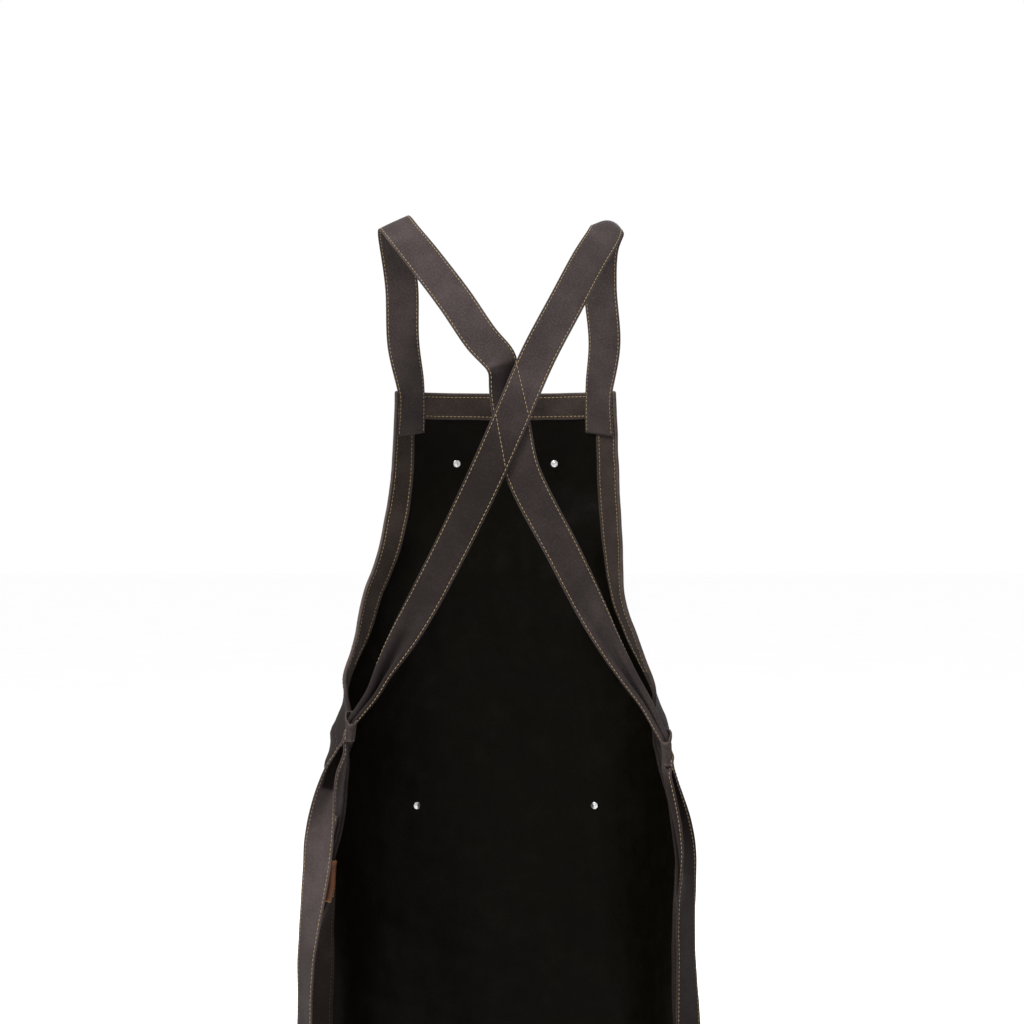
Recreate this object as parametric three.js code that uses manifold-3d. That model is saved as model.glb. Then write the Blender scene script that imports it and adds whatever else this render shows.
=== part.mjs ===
// Cross-back butcher apron, shown as worn: bib and skirt in one canvas panel with a black
// lining, self-fabric facings, two straps that cross on the back, pass through a fabric
// loop at each waist corner and hang on as ties.
// Millimetres. The origin is midway between the two places where the straps rest on the
// shoulders. +Z is up, the wearer faces -Y and the wearer's left hand is at +X.
import * as THREE from "three";
import { mergeVertices } from "three/addons/utils/BufferGeometryUtils.js";
import Module from "manifold-3d";

const wasm = await Module();
wasm.setup();

// ---- Driving dimensions -------------------------------------------------------------

// Fabric layers, measured inwards from the outer face of the panel.
const CANVAS = 1.5;
const LINING = 0.8;
const FACING = 1.0;
const GAP = 0.3;
const LINING_FACE = -(CANVAS + GAP);
const LINING_BACK = LINING_FACE - LINING;
const FACING_FACE = LINING_BACK - GAP;
const FACING_BACK = FACING_FACE - FACING;
const FACING_WIDTH = 25;
const EDGE_SEAM = 8;

// Flat cut of the panel: half widths, and heights below the shoulders.
const BIB_HALF = 130;
const SKIRT_HALF = 286;
const BIB_TOP = -172;
const ARMHOLE_TOP = -250;
const WAIST = -525;
const HEM = -1020;
const ARMHOLE_POWER = 2.2;
const SLOPE_REACH = 12;

// How the panel hangs round the wearer, as [height, value] stations from top to bottom.
const FRONT_LINE = [[-172, -104], [-240, -120], [-370, -112], [-525, -126], [-1020, -132]];
const CURL = [[-172, 53], [-300, 41], [-390, 69], [-452, 91], [-487, 103], [-525, 119.5],
  [-600, 122.5], [-650, 122], [-692, 124], [-745, 132], [-820, 134], [-1020, 128]];
const FLARE = [[-545, 0], [-600, 7], [-650, 16], [-692, 28], [-745, 82], [-820, 112], [-1020, 110]];
const CURL_POWER = 1.6;
const FLARE_FROM = 0.78;
const WRAP_REACH = 16;
const WRAP_PIECES = 48;
const NORMAL_REACH = 0.5;

// Pockets on the outer face.
const POCKET_CLOTH = 1.2;
const CHEST_POCKET = { from: -62, to: 62, mouth: -235, base: -355, bulge: 11 };
const HIP_POCKET = { from: 92, to: SKIRT_HALF - EDGE_SEAM, mouth: -608, base: -800, bulge: 16 };

// Straps, loops and ties.
const STRAP_WIDTH = 35;
const STRAP_THICK = 1.8;
const GATHER_WIDTH = 18;
const GATHER_THICK = 8;
const STRAP_ON_BIB = 110;
const STRAP_ROOT = -214;
const STRAP_DEPTH = FACING_BACK - 3.6;
const SHOULDER_X = 110;
const REST_LENGTH = 18;
const LOOP_X = 158;
const LOOP_Y = 53.5;
const LOOP_TOP = -527;
const LOOP_HEIGHT = 22;
const LOOP_LONG = 24;
const LOOP_SHORT = 13;
const LOOP_WALL = 1.5;
const LOOP_ROUND = 4;
const STRAP_END = -550;
const TIE_HINGE = -556;
const TIE_START = -558;
const TIE_TIP = -1245;

// Leather tab folded round the left side edge, and the rivets.
const TAB_TOP = -650;
const TAB_BASE = -692;
const TAB_LEATHER = 1.8;
const TAB_LEG = 7;
const TAB_BEND = 0.6;
const BEND_PIECES = 6;
const RIVET_CAP = 4.5;
const RIVET_DOME = 1.8;
const RIVET_POST = 1.4;
const RIVET_WASHER = 3.8;
const RIVET_WASHER_THICK = 1.2;
const RIVET_BELOW_MOUTH = 11;
const RIVET_FROM_EDGE = 8;
const RIVET_SLACK = 2;
const RIVET_SIDES = 10;
const HOLE_RADIUS = 2;
const HOLE_LENGTH = 30;
const HOLE_SIDES = 8;

// Rows and columns that every layer of the panel shares, so that layers stay parallel.
const ROWS = [BIB_TOP, BIB_TOP - FACING_WIDTH, -235, -275, -315, -355, -391, -420, -445, -468,
  -490, -508, WAIST, -545, -575, -608, -650, -692, -745, -800, -870, -940,
  HEM + FACING_WIDTH, HEM];
const INNER_COLUMNS = [0, 31, 62, 92];
const OUTER_COLUMN_COUNT = 7;
const FACING_BREAK = 1;

// ---- Materials ----------------------------------------------------------------------

function finish(color, roughness, metalness = 0) {
  return new THREE.MeshStandardMaterial({ color, roughness, metalness });
}

const FINISHES = {
  canvas: () => finish(0x4b4243, 0.85),
  webbing: () => finish(0x50474a, 0.8),
  lining: () => finish(0x141412, 0.45),
  leather: () => finish(0x6b4226, 0.5),
  metal: () => finish(0xb9bbbd, 0.3, 1),
};

const apron = new THREE.Group();

function add(name, geometry, look, parent = apron) {
  const mesh = new THREE.Mesh(geometry, FINISHES[look]());
  mesh.name = name;
  parent.add(mesh);
  return mesh;
}

// ---- Small helpers ------------------------------------------------------------------

function between(stations, z) {
  const last = stations.length - 1;
  if (z >= stations[0][0]) return stations[0][1];
  if (z <= stations[last][0]) return stations[last][1];
  const i = stations.findIndex((station, k) => k < last && z >= stations[k + 1][0]);
  const slope = (k) => {
    const a = stations[Math.max(k - 1, 0)];
    const b = stations[Math.min(k + 1, last)];
    return (b[1] - a[1]) / (b[0] - a[0]);
  };
  const [z0, v0] = stations[i];
  const [z1, v1] = stations[i + 1];
  const step = z1 - z0;
  const t = (z - z0) / step;
  const rise = t * t * (3 - 2 * t);
  const ease = t * (1 - t) * (1 - t);
  const settle = t * t * (t - 1);
  return v0 + (v1 - v0) * rise + (slope(i) * ease + slope(i + 1) * settle) * step;
}

function mix(a, b, t) {
  return a + (b - a) * t;
}

function ramp(t) {
  const clamped = Math.min(Math.max(t, 0), 1);
  return clamped * clamped * (3 - 2 * clamped);
}

function geometryOf(points, triangles) {
  const geometry = new THREE.BufferGeometry();
  const flat = points.flatMap((p) => [p.x, p.y, p.z]);
  geometry.setAttribute("position", new THREE.Float32BufferAttribute(flat, 3));
  geometry.setIndex(triangles);
  return geometry;
}

function quad(triangles, a, b, c, d) {
  triangles.push(a, b, c, a, c, d);
}

// Closes a run of equal rings, each counter-clockwise seen from the end of the run. Sides of
// the ring from "turned" on are split along the other diagonal.
function loft(rings, profile, turned = profile.length) {
  const size = rings[0].length;
  const last = rings.length - 1;
  const triangles = [];
  for (let k = 0; k < last; k += 1) {
    for (let i = 0; i < size; i += 1) {
      const next = (i + 1) % size;
      const here = k * size;
      const there = here + size;
      const corners = [here + i, here + next, there + next, there + i];
      if (i >= turned) corners.push(corners.shift());
      quad(triangles, ...corners);
    }
  }
  for (const [a, b, c] of THREE.ShapeUtils.triangulateShape(profile, [])) {
    triangles.push(a, c, b);
    triangles.push(last * size + a, last * size + b, last * size + c);
  }
  return geometryOf(rings.flat(), triangles);
}

function solidOf(geometry) {
  const bare = geometry.clone();
  bare.deleteAttribute("normal");
  bare.deleteAttribute("uv");
  const merged = mergeVertices(bare, 1e-4);
  return new wasm.Manifold(new wasm.Mesh({
    numProp: 3,
    vertProperties: new Float32Array(merged.attributes.position.array),
    triVerts: new Uint32Array(merged.index.array),
  }));
}

function geometryFrom(solid) {
  const mesh = solid.getMesh();
  const geometry = new THREE.BufferGeometry();
  geometry.setAttribute("position", new THREE.BufferAttribute(mesh.vertProperties, 3));
  geometry.setIndex(new THREE.BufferAttribute(mesh.triVerts, 1));
  return geometry;
}

// ---- The panel as a surface -----------------------------------------------------------

function cutHalf(z) {
  const t = (ARMHOLE_TOP - z) / (ARMHOLE_TOP - WAIST);
  const clamped = Math.min(Math.max(t, 0), 1);
  return BIB_HALF + (SKIRT_HALF - BIB_HALF) * clamped ** ARMHOLE_POWER;
}

function facingWidth(z) {
  const slope = (cutHalf(z - SLOPE_REACH) - cutHalf(z + SLOPE_REACH)) / (2 * SLOPE_REACH);
  return FACING_WIDTH * Math.hypot(1, slope);
}

// Point on the outer face: s runs along the cloth from the centre line, z is the height.
function surface(s, z) {
  const half = (cutHalf(z - WRAP_REACH) + 2 * cutHalf(z) + cutHalf(z + WRAP_REACH)) / 4;
  const curl = THREE.MathUtils.degToRad(between(CURL, z));
  const flare = THREE.MathUtils.degToRad(between(FLARE, z));
  const step = Math.abs(s) / WRAP_PIECES;
  let x = 0;
  let y = between(FRONT_LINE, z);
  for (let i = 0; i < WRAP_PIECES; i += 1) {
    const part = (i + 0.5) * step / half;
    const heading = curl * part ** CURL_POWER - flare * ramp((part - FLARE_FROM) / (1 - FLARE_FROM));
    x += Math.cos(heading) * step;
    y += Math.sin(heading) * step;
  }
  return new THREE.Vector3(Math.sign(s) * x, y, z);
}

function outward(s, z) {
  const across = surface(s + NORMAL_REACH, z).sub(surface(s - NORMAL_REACH, z));
  const down = surface(s, z - NORMAL_REACH).sub(surface(s, z + NORMAL_REACH));
  return down.cross(across).normalize();
}

function onPanel(s, z, offset) {
  return surface(s, z).addScaledVector(outward(s, z), offset);
}

function halfColumns(z) {
  const half = cutHalf(z);
  const facing = facingWidth(z);
  const start = INNER_COLUMNS[INNER_COLUMNS.length - 1];
  const columns = [...INNER_COLUMNS];
  for (let k = 1; k <= OUTER_COLUMN_COUNT; k += 1) {
    columns.push(mix(start, half - facing, k / OUTER_COLUMN_COUNT));
  }
  columns.push(half - facing * EDGE_SEAM / FACING_WIDTH, half);
  return columns;
}

function allColumns(z) {
  const right = halfColumns(z);
  const left = right.slice(1).reverse().map((s) => -s);
  return [...left, ...right];
}

function columnsBetween(from, to) {
  return (z) => allColumns(z).filter((s) => s > from - 1e-6 && s < to + 1e-6);
}

function facingColumns(side) {
  return (z) => {
    const strip = halfColumns(z).slice(-3);
    return side > 0 ? strip : strip.reverse().map((s) => -s);
  };
}

function rowsBetween(top, base) {
  const inside = ROWS.filter((z) => z < top - 1 && z > base + 1);
  return [top, ...inside, base];
}

// A closed sheet on the panel's grid, from the offset "face" to the offset "back".
function layer(rows, columns, face, back) {
  const offset = (rule, s, z) => (typeof rule === "number" ? rule : rule(s, z));
  const count = columns(rows[0]).length;
  const sheet = (rule) => rows.flatMap((z) => columns(z).map((s) => onPanel(s, z, offset(rule, s, z))));
  const points = [...sheet(face), ...sheet(back)];
  const inner = rows.length * count;
  const triangles = [];
  const at = (i, j) => i * count + j;
  for (let i = 0; i < rows.length - 1; i += 1) {
    for (let j = 0; j < count - 1; j += 1) {
      quad(triangles, at(i, j), at(i + 1, j), at(i + 1, j + 1), at(i, j + 1));
      quad(triangles, inner + at(i, j), inner + at(i, j + 1), inner + at(i + 1, j + 1), inner + at(i + 1, j));
    }
  }
  const rim = (a, b) => quad(triangles, a, b, inner + b, inner + a);
  for (let j = 0; j < count - 1; j += 1) {
    rim(at(0, j), at(0, j + 1));
    rim(at(rows.length - 1, j + 1), at(rows.length - 1, j));
  }
  for (let i = 0; i < rows.length - 1; i += 1) {
    rim(at(i + 1, 0), at(i, 0));
    rim(at(i, count - 1), at(i + 1, count - 1));
  }
  return geometryOf(points, triangles);
}

// ---- Rivets ---------------------------------------------------------------------------

const SIDES = [["left", 1], ["right", -1]];

function rivetAt(place, [side, sign], s, pocket, back) {
  return { name: `rivet_${place}_${side}`, s: sign * s, z: pocket.mouth - RIVET_BELOW_MOUTH, back };
}

const RIVETS = SIDES.flatMap((side) => [
  rivetAt("chest", side, CHEST_POCKET.to - RIVET_FROM_EDGE, CHEST_POCKET, LINING_BACK),
  rivetAt("hip_front", side, HIP_POCKET.from + RIVET_FROM_EDGE, HIP_POCKET, LINING_BACK),
  rivetAt("hip_side", side, HIP_POCKET.to - RIVET_FROM_EDGE, HIP_POCKET, FACING_BACK),
]);

function aimedAlong(geometry, s, z) {
  const turn = new THREE.Quaternion().setFromUnitVectors(new THREE.Vector3(0, 1, 0), outward(s, z));
  const place = surface(s, z);
  return geometry.applyQuaternion(turn).translate(place.x, place.y, place.z);
}

function rivetGeometry({ s, z, back }) {
  const seat = GAP + POCKET_CLOTH + pocketRise(s, z) + RIVET_SLACK;
  const washer = back - RIVET_SLACK;
  const burr = washer - RIVET_WASHER_THICK;
  const profile = [
    [0, burr], [RIVET_WASHER * 0.8, burr], [RIVET_WASHER, washer],
    [RIVET_POST, washer], [RIVET_POST, seat], [RIVET_CAP, seat],
    [RIVET_CAP * 0.85, seat + RIVET_DOME * 0.7], [0, seat + RIVET_DOME],
  ].map(([r, y]) => new THREE.Vector2(r, y));
  return aimedAlong(new THREE.LatheGeometry(profile, RIVET_SIDES), s, z);
}

function pierced(geometry) {
  let solid = solidOf(geometry);
  for (const { s, z } of RIVETS) {
    const drill = new THREE.CylinderGeometry(HOLE_RADIUS, HOLE_RADIUS, HOLE_LENGTH, HOLE_SIDES);
    solid = solid.subtract(solidOf(aimedAlong(drill, s, z)));
  }
  return geometryFrom(solid);
}

// ---- Pockets --------------------------------------------------------------------------

function riseOf(pocket, s, z) {
  const across = pocket.from < 0 ? s - pocket.from : Math.abs(s) - pocket.from;
  const u = across / (pocket.to - pocket.from);
  const v = (pocket.mouth - z) / (pocket.mouth - pocket.base);
  const crown = Math.sin(Math.PI * Math.min(Math.max(u, 0), 1));
  const sag = Math.cos(Math.PI / 2 * Math.min(Math.max(v, 0), 1));
  return pocket.bulge * crown * sag;
}

function pocketRise(s, z) {
  const pocket = z > WAIST ? CHEST_POCKET : HIP_POCKET;
  return riseOf(pocket, s, z);
}

function pocketGeometry(pocket, from, to) {
  const face = (s, z) => GAP + POCKET_CLOTH + pocketRise(s, z);
  const back = (s, z) => GAP + pocketRise(s, z);
  return layer(rowsBetween(pocket.mouth, pocket.base), columnsBetween(from, to), face, back);
}

// ---- Straps and ties ------------------------------------------------------------------

// A flat strip: each station is { at, out, width, thick, steps } with "out" the direction
// that the strip's face looks in and "steps" the number of pieces to the next station.
function strip(stations) {
  const points = stations.map(({ at }) => new THREE.Vector3(...at));
  const curve = new THREE.CatmullRomCurve3(points, false, "centripetal");
  const last = stations.length - 1;
  const rings = [];
  const ring = (i, f) => {
    const here = stations[i];
    const there = stations[Math.min(i + 1, last)];
    const u = (i + f) / last;
    const centre = curve.getPoint(u);
    const along = curve.getTangent(u);
    const out = new THREE.Vector3(...here.out).lerp(new THREE.Vector3(...there.out), f);
    if (here.flat || (i > 0 && stations[i - 1].flat)) along.z = 0;
    out.addScaledVector(along, -out.dot(along) / along.lengthSq()).normalize();
    const wide = out.clone().cross(along).normalize();
    const w = mix(here.width ?? STRAP_WIDTH, there.width ?? STRAP_WIDTH, f) / 2;
    const t = mix(here.thick ?? STRAP_THICK, there.thick ?? STRAP_THICK, f) / 2;
    const corner = (a, b) => centre.clone().addScaledVector(wide, a * w).addScaledVector(out, b * t);
    return [corner(-1, -1), corner(1, -1), corner(1, 1), corner(-1, 1)];
  };
  for (let i = 0; i < last; i += 1) {
    const steps = stations[i].steps ?? 2;
    for (let k = 0; k < steps; k += 1) rings.push(ring(i, k / steps));
  }
  rings.push(ring(last, 0));
  const profile = [[-1, -1], [1, -1], [1, 1], [-1, 1]].map(([a, b]) => new THREE.Vector2(a, b));
  // Front and back are split along the same diagonal, so that a twisted strip keeps its walls apart.
  return loft(rings, profile, profile.length / 2);
}

// The strap runs inside the bib, up over the shoulder and down the back to its loop.
function strapStations(side, backRoute) {
  const bibCorner = (z) => onPanel(side * STRAP_ON_BIB, z, STRAP_DEPTH).toArray();
  const bibOut = (z) => outward(side * STRAP_ON_BIB, z).toArray();
  const gathered = { width: GATHER_WIDTH, thick: GATHER_THICK, out: [-side, 0, 0] };
  const loopX = -side * LOOP_X;
  const middle = STRAP_THICK / 2;
  return [
    { at: bibCorner(STRAP_ROOT), out: bibOut(STRAP_ROOT), steps: 1 },
    { at: bibCorner(BIB_TOP), out: bibOut(BIB_TOP) },
    { at: [side * 108, -55, -120], out: [side * 0.3, -0.95, 0.2] },
    { at: [side * 109, -43, -62], out: [side * 0.1, -0.9, 0.4] },
    { at: [side * 111, -24, -16], out: [0, -0.6, 0.8] },
    { at: [side * (SHOULDER_X + 2), -REST_LENGTH / 2, middle], out: [0, 0, 1], steps: 1, flat: true },
    { at: [side * (SHOULDER_X - 2), REST_LENGTH / 2, middle], out: [0, 0, 1] },
    ...backRoute,
    { at: [loopX, LOOP_Y, LOOP_TOP + 3], ...gathered, steps: 1 },
    { at: [loopX, LOOP_Y, LOOP_TOP - LOOP_HEIGHT + 2], ...gathered, steps: 1 },
    { at: [loopX, LOOP_Y, STRAP_END], ...gathered, width: GATHER_THICK },
  ];
}

const LEFT_STRAP_BACK = [
  { at: [100, 29, -17], out: [0.2, 0.55, 0.8] },
  { at: [80, 48, -46], out: [0.25, 0.8, 0.5] },
  { at: [49, 76, -90], out: [0.2, 0.9, 0.35] },
  { at: [22, 91, -129], out: [0.1, 0.97, 0.2] },
  { at: [2, 95.5, -160], out: [0, 1, 0] },
  { at: [-7, 97, -207], out: [0, 1, 0] },
  { at: [-17, 96.5, -258], out: [0, 1, 0] },
  { at: [-58, 90, -340], out: [-0.3, 0.95, 0], steps: 3 },
  { at: [-99, 80, -421], out: [-0.5, 0.85, 0] },
  { at: [-125, 68, -466], out: [-0.6, 0.75, 0] },
  { at: [-145, 57, -502], out: [-0.85, 0.5, 0], width: 29, thick: 3.5 },
];

const RIGHT_STRAP_BACK = [
  { at: [-99, 30, -18], out: [-0.2, 0.55, 0.8] },
  { at: [-83, 48, -46], out: [-0.25, 0.8, 0.5] },
  { at: [-62, 77, -90], out: [-0.25, 0.9, 0.35] },
  { at: [-32, 97, -148], out: [-0.05, 1, 0.05] },
  { at: [-6, 100.5, -208], out: [0, 1, 0] },
  { at: [16, 100, -258], out: [0.02, 1, 0] },
  { at: [53, 94, -335], out: [0.3, 0.95, 0], steps: 3 },
  { at: [92, 84, -408], out: [0.5, 0.85, 0] },
  { at: [120, 71, -455], out: [0.6, 0.75, 0] },
  { at: [144, 58, -500], out: [0.85, 0.5, 0], width: 29, thick: 3.5 },
];

// Each tie starts as a gathered bundle under its loop and opens into a flat strip.
const LEFT_TIE = [
  { at: [LOOP_X, LOOP_Y, TIE_START], out: [1, 0.1, 0], width: GATHER_THICK, thick: GATHER_THICK, steps: 1 },
  { at: [166, LOOP_Y, -573], out: [0.8, 0.6, 0], width: 18, thick: 5 },
  { at: [177, 51, -594], out: [0.55, 0.8, 0], width: 30, thick: 2.4 },
  { at: [185, 51, -626], out: [0.5, 0.85, 0] },
  { at: [189, 52, -672], out: [0.55, 0.83, 0] },
  { at: [194, 53, -730], out: [0.65, 0.75, 0] },
  { at: [204, 54, -815], out: [0.8, 0.6, 0], steps: 3 },
  { at: [209, 54, -960], out: [0.85, 0.5, 0], steps: 3 },
  { at: [212, 54, -1110], out: [0.8, 0.6, 0], steps: 3 },
  { at: [214, 54, TIE_TIP], out: [0.7, 0.7, 0] },
];

const RIGHT_TIE = [
  { at: [-LOOP_X, LOOP_Y, TIE_START], out: [-1, 0.1, 0], width: GATHER_THICK, thick: GATHER_THICK, steps: 1 },
  { at: [-168, LOOP_Y, -573], out: [-1, 0.2, 0], width: 18, thick: 5 },
  { at: [-178, 51, -594], out: [-0.95, 0.3, 0], width: 30, thick: 2.4 },
  { at: [-182, 51, -626], out: [-0.93, 0.36, 0] },
  { at: [-183, 52, -680], out: [-0.88, 0.47, 0] },
  { at: [-183, 53, -745], out: [-0.82, 0.57, 0] },
  { at: [-184, 54, -815], out: [-0.75, 0.65, 0], steps: 3 },
  { at: [-188, 55, -960], out: [-0.7, 0.7, 0], steps: 3 },
  { at: [-192, 55, -1110], out: [-0.6, 0.8, 0], steps: 3 },
  { at: [-195, 55, TIE_TIP], out: [-0.6, 0.8, 0] },
];

// ---- Waist loops and leather tab ------------------------------------------------------

function roundedRectangle(path, width, height, radius) {
  const x = width / 2 - radius;
  const y = height / 2 - radius;
  path.absarc(x, y, radius, 0, Math.PI / 2);
  path.absarc(-x, y, radius, Math.PI / 2, Math.PI);
  path.absarc(-x, -y, radius, Math.PI, Math.PI * 1.5);
  path.absarc(x, -y, radius, Math.PI * 1.5, Math.PI * 2);
  path.closePath();
  return path;
}

function loopGeometry(side) {
  const outer = roundedRectangle(new THREE.Shape(), LOOP_SHORT, LOOP_LONG, LOOP_ROUND);
  const walls = 2 * LOOP_WALL;
  const inside = LOOP_ROUND - LOOP_WALL;
  outer.holes.push(roundedRectangle(new THREE.Path(), LOOP_SHORT - walls, LOOP_LONG - walls, inside));
  const settings = { depth: LOOP_HEIGHT, bevelEnabled: false, curveSegments: 2 };
  const sleeve = new THREE.ExtrudeGeometry(outer, settings);
  return sleeve.translate(side * LOOP_X, LOOP_Y, LOOP_TOP - LOOP_HEIGHT);
}

function tabGeometry() {
  const face = GAP + TAB_LEATHER;
  const back = FACING_BACK - GAP - TAB_LEATHER;
  const middle = (face + back) / 2;
  const arc = (radius, from, to) => Array.from({ length: BEND_PIECES + 1 }, (_, k) => {
    const angle = mix(from, to, k / BEND_PIECES);
    return [TAB_BEND + radius * Math.cos(angle), middle + radius * Math.sin(angle)];
  });
  const outerRadius = (face - back) / 2;
  const innerRadius = outerRadius - TAB_LEATHER;
  const profile = [
    [-TAB_LEG, face], [0, face], ...arc(outerRadius, Math.PI / 2, -Math.PI / 2),
    [0, back], [-TAB_LEG, back], [-TAB_LEG, back + TAB_LEATHER], [0, back + TAB_LEATHER],
    ...arc(innerRadius, -Math.PI / 2, Math.PI / 2),
    [0, GAP], [-TAB_LEG, GAP],
  ].reverse();
  const place = (beyond, offset, z) => {
    if (beyond <= 0) return onPanel(SKIRT_HALF + beyond, z, offset);
    const edge = onPanel(SKIRT_HALF, z, offset);
    const ahead = surface(SKIRT_HALF, z).sub(surface(SKIRT_HALF - 1, z)).normalize();
    return edge.addScaledVector(ahead, beyond);
  };
  const rings = [TAB_BASE, TAB_TOP].map((z) => profile.map(([b, o]) => place(b, o, z)));
  const flat = profile.map(([b, o]) => new THREE.Vector2(b, -o));
  return loft(rings.map((ring) => ring.reverse()), flat.reverse());
}

// ---- Assembly -------------------------------------------------------------------------

add("shell_panel", pierced(layer(ROWS, allColumns, 0, -CANVAS)), "canvas");
add("lining_panel", pierced(layer(ROWS, allColumns, LINING_FACE, LINING_BACK)), "lining");

const facingLayer = (rows, columns) => layer(rows, columns, FACING_FACE, FACING_BACK);
add("bib_top_facing", facingLayer([BIB_TOP, BIB_TOP - FACING_WIDTH], allColumns), "canvas");
add("bottom_hem", facingLayer([HEM + FACING_WIDTH, HEM], allColumns), "canvas");

for (const [side, sign] of SIDES) {
  const armholeRows = rowsBetween(BIB_TOP - FACING_WIDTH - FACING_BREAK, WAIST);
  const sideRows = rowsBetween(WAIST - FACING_BREAK, HEM + FACING_WIDTH + FACING_BREAK);
  const columns = facingColumns(sign);
  add(`armhole_facing_${side}`, facingLayer(armholeRows, columns), "canvas");
  add(`side_hem_${side}`, pierced(facingLayer(sideRows, columns)), "canvas");
  const edges = [sign * HIP_POCKET.from, sign * HIP_POCKET.to];
  const [from, to] = [Math.min(...edges), Math.max(...edges)];
  add(`hip_pocket_${side}`, pierced(pocketGeometry(HIP_POCKET, from, to)), "canvas");
  add(`waist_loop_${side}`, loopGeometry(sign), "canvas");
}

add("chest_pocket", pierced(pocketGeometry(CHEST_POCKET, CHEST_POCKET.from, CHEST_POCKET.to)), "canvas");
add("strap_left", strip(strapStations(1, LEFT_STRAP_BACK)), "webbing");
add("strap_right", strip(strapStations(-1, RIGHT_STRAP_BACK)), "webbing");
add("leather_tab", tabGeometry(), "leather");
for (const rivet of RIVETS) add(rivet.name, rivetGeometry(rivet), "metal");

// Each tie hangs in its own group, whose origin is the hinge under the loop.
for (const [name, sign, stations] of [["tie_left", 1, LEFT_TIE], ["tie_right", -1, RIGHT_TIE]]) {
  const hinge = new THREE.Group();
  hinge.position.set(sign * LOOP_X, LOOP_Y, TIE_HINGE);
  const geometry = strip(stations).translate(-sign * LOOP_X, -LOOP_Y, -TIE_HINGE);
  add(name, geometry, "webbing", hinge);
  apron.add(hinge);
}

export default apron;
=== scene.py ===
"""A cross-back butcher apron, hung as worn and seen from behind.

Sizes are in metres: origin between the shoulder rests, +Z up, the wearer facing -Y. Canvas,
lining, facings and pockets lie on one hanging surface, and the straps are ribbons on curved routes.
"""
import math
from collections import namedtuple
import bpy
import numpy as np
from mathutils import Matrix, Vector
from mathutils.bvhtree import BVHTree


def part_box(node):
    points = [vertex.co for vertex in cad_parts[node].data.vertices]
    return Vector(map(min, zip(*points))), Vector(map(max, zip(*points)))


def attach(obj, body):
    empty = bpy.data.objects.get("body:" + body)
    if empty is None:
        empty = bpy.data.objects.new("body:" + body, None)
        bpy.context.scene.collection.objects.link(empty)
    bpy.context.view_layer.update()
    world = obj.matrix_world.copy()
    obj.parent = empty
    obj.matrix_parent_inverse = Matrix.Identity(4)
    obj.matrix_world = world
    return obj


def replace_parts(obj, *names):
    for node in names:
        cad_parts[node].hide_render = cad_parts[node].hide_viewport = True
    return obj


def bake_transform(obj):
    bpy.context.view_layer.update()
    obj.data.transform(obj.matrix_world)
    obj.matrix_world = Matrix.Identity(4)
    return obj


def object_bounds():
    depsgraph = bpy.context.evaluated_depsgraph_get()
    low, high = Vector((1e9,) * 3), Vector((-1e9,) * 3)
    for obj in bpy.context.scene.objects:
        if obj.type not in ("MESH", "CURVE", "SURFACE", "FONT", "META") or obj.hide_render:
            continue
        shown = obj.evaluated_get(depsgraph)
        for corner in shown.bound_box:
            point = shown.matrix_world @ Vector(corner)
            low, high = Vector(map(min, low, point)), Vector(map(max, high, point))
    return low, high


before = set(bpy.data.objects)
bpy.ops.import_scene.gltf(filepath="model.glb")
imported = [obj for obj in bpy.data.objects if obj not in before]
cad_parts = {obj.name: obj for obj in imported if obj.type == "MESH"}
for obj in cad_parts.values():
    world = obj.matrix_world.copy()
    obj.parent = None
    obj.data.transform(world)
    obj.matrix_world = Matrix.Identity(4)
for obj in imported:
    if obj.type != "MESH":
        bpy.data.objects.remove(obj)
CAD_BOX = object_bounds()
MM = 0.001
TURN = 2 * math.pi

# ---- Driving sizes, as in the CAD ----

CANVAS, LINING, FACING, GAP = 1.5 * MM, 0.8 * MM, 1.0 * MM, 0.3 * MM
LINING_FACE = -(CANVAS + GAP)
LINING_BACK = LINING_FACE - LINING
FACING_FACE = LINING_BACK - GAP
FACING_BACK = FACING_FACE - FACING
FACING_WIDTH = 25 * MM
BIB_HALF, SKIRT_HALF = 130 * MM, 286 * MM
BIB_TOP, ARMHOLE_TOP, WAIST, HEM = -172 * MM, -250 * MM, -525 * MM, -1020 * MM
ARMHOLE_POWER = 2.2

# By height in mm: the front line's Y in mm, and how far the wrap turns and flares back in degrees.
FRONT_LINE = [(-172, -104), (-240, -120), (-370, -112), (-525, -126), (-1020, -132)]
CURL = [(-172, 53), (-300, 41), (-390, 69), (-452, 91), (-487, 103), (-525, 119.5), (-600, 122.5),
        (-650, 122), (-692, 124), (-745, 132), (-820, 134), (-1020, 128)]
FLARE = [(-545, 0), (-600, 7), (-650, 16), (-692, 28), (-745, 82), (-820, 112), (-1020, 110)]
CURL_POWER, FLARE_FROM, WRAP_REACH = 1.6, 0.78, 16 * MM

# By height in mm, how far each side's cut edge hangs out of the even wrap, in mm.
LEFT_LEAN = [(-250, 0), (-330, 6), (-390, 12), (-430, 8), (-472, 7), (-500, -3), (-535, -3), (-575, 0)]
RIGHT_LEAN = [(-250, 0), (-330, -7), (-390, -14), (-430, -9), (-472, -5), (-500, -9), (-535, -9), (-575, -3),
              (-620, 0)]
LEFT_SPREAD = [(-540, 0), (-565, -2.5), (-612, -2.5), (-648, 4), (-672, 5.5), (-700, 8), (-760, 9),
               (-1020, 9)]
LEFT_BELLY = [(-520, 0), (-560, 6.5), (-625, 7), (-675, 0)]
RIGHT_SPREAD = [(-555, 0), (-600, 4), (-650, 4), (-700, 2), (-760, 0), (-1020, 0)]

STRAP_WIDTH, STRAP_THICK = 35 * MM, 1.8 * MM
SEAM_IN = 2.3 * MM
STITCH_PITCH, STITCH_LENGTH, STITCH_LIFT, THREAD = 4.4 * MM, 3.1 * MM, 0.12 * MM, 0.36 * MM


# ---- Small maths ----

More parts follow.
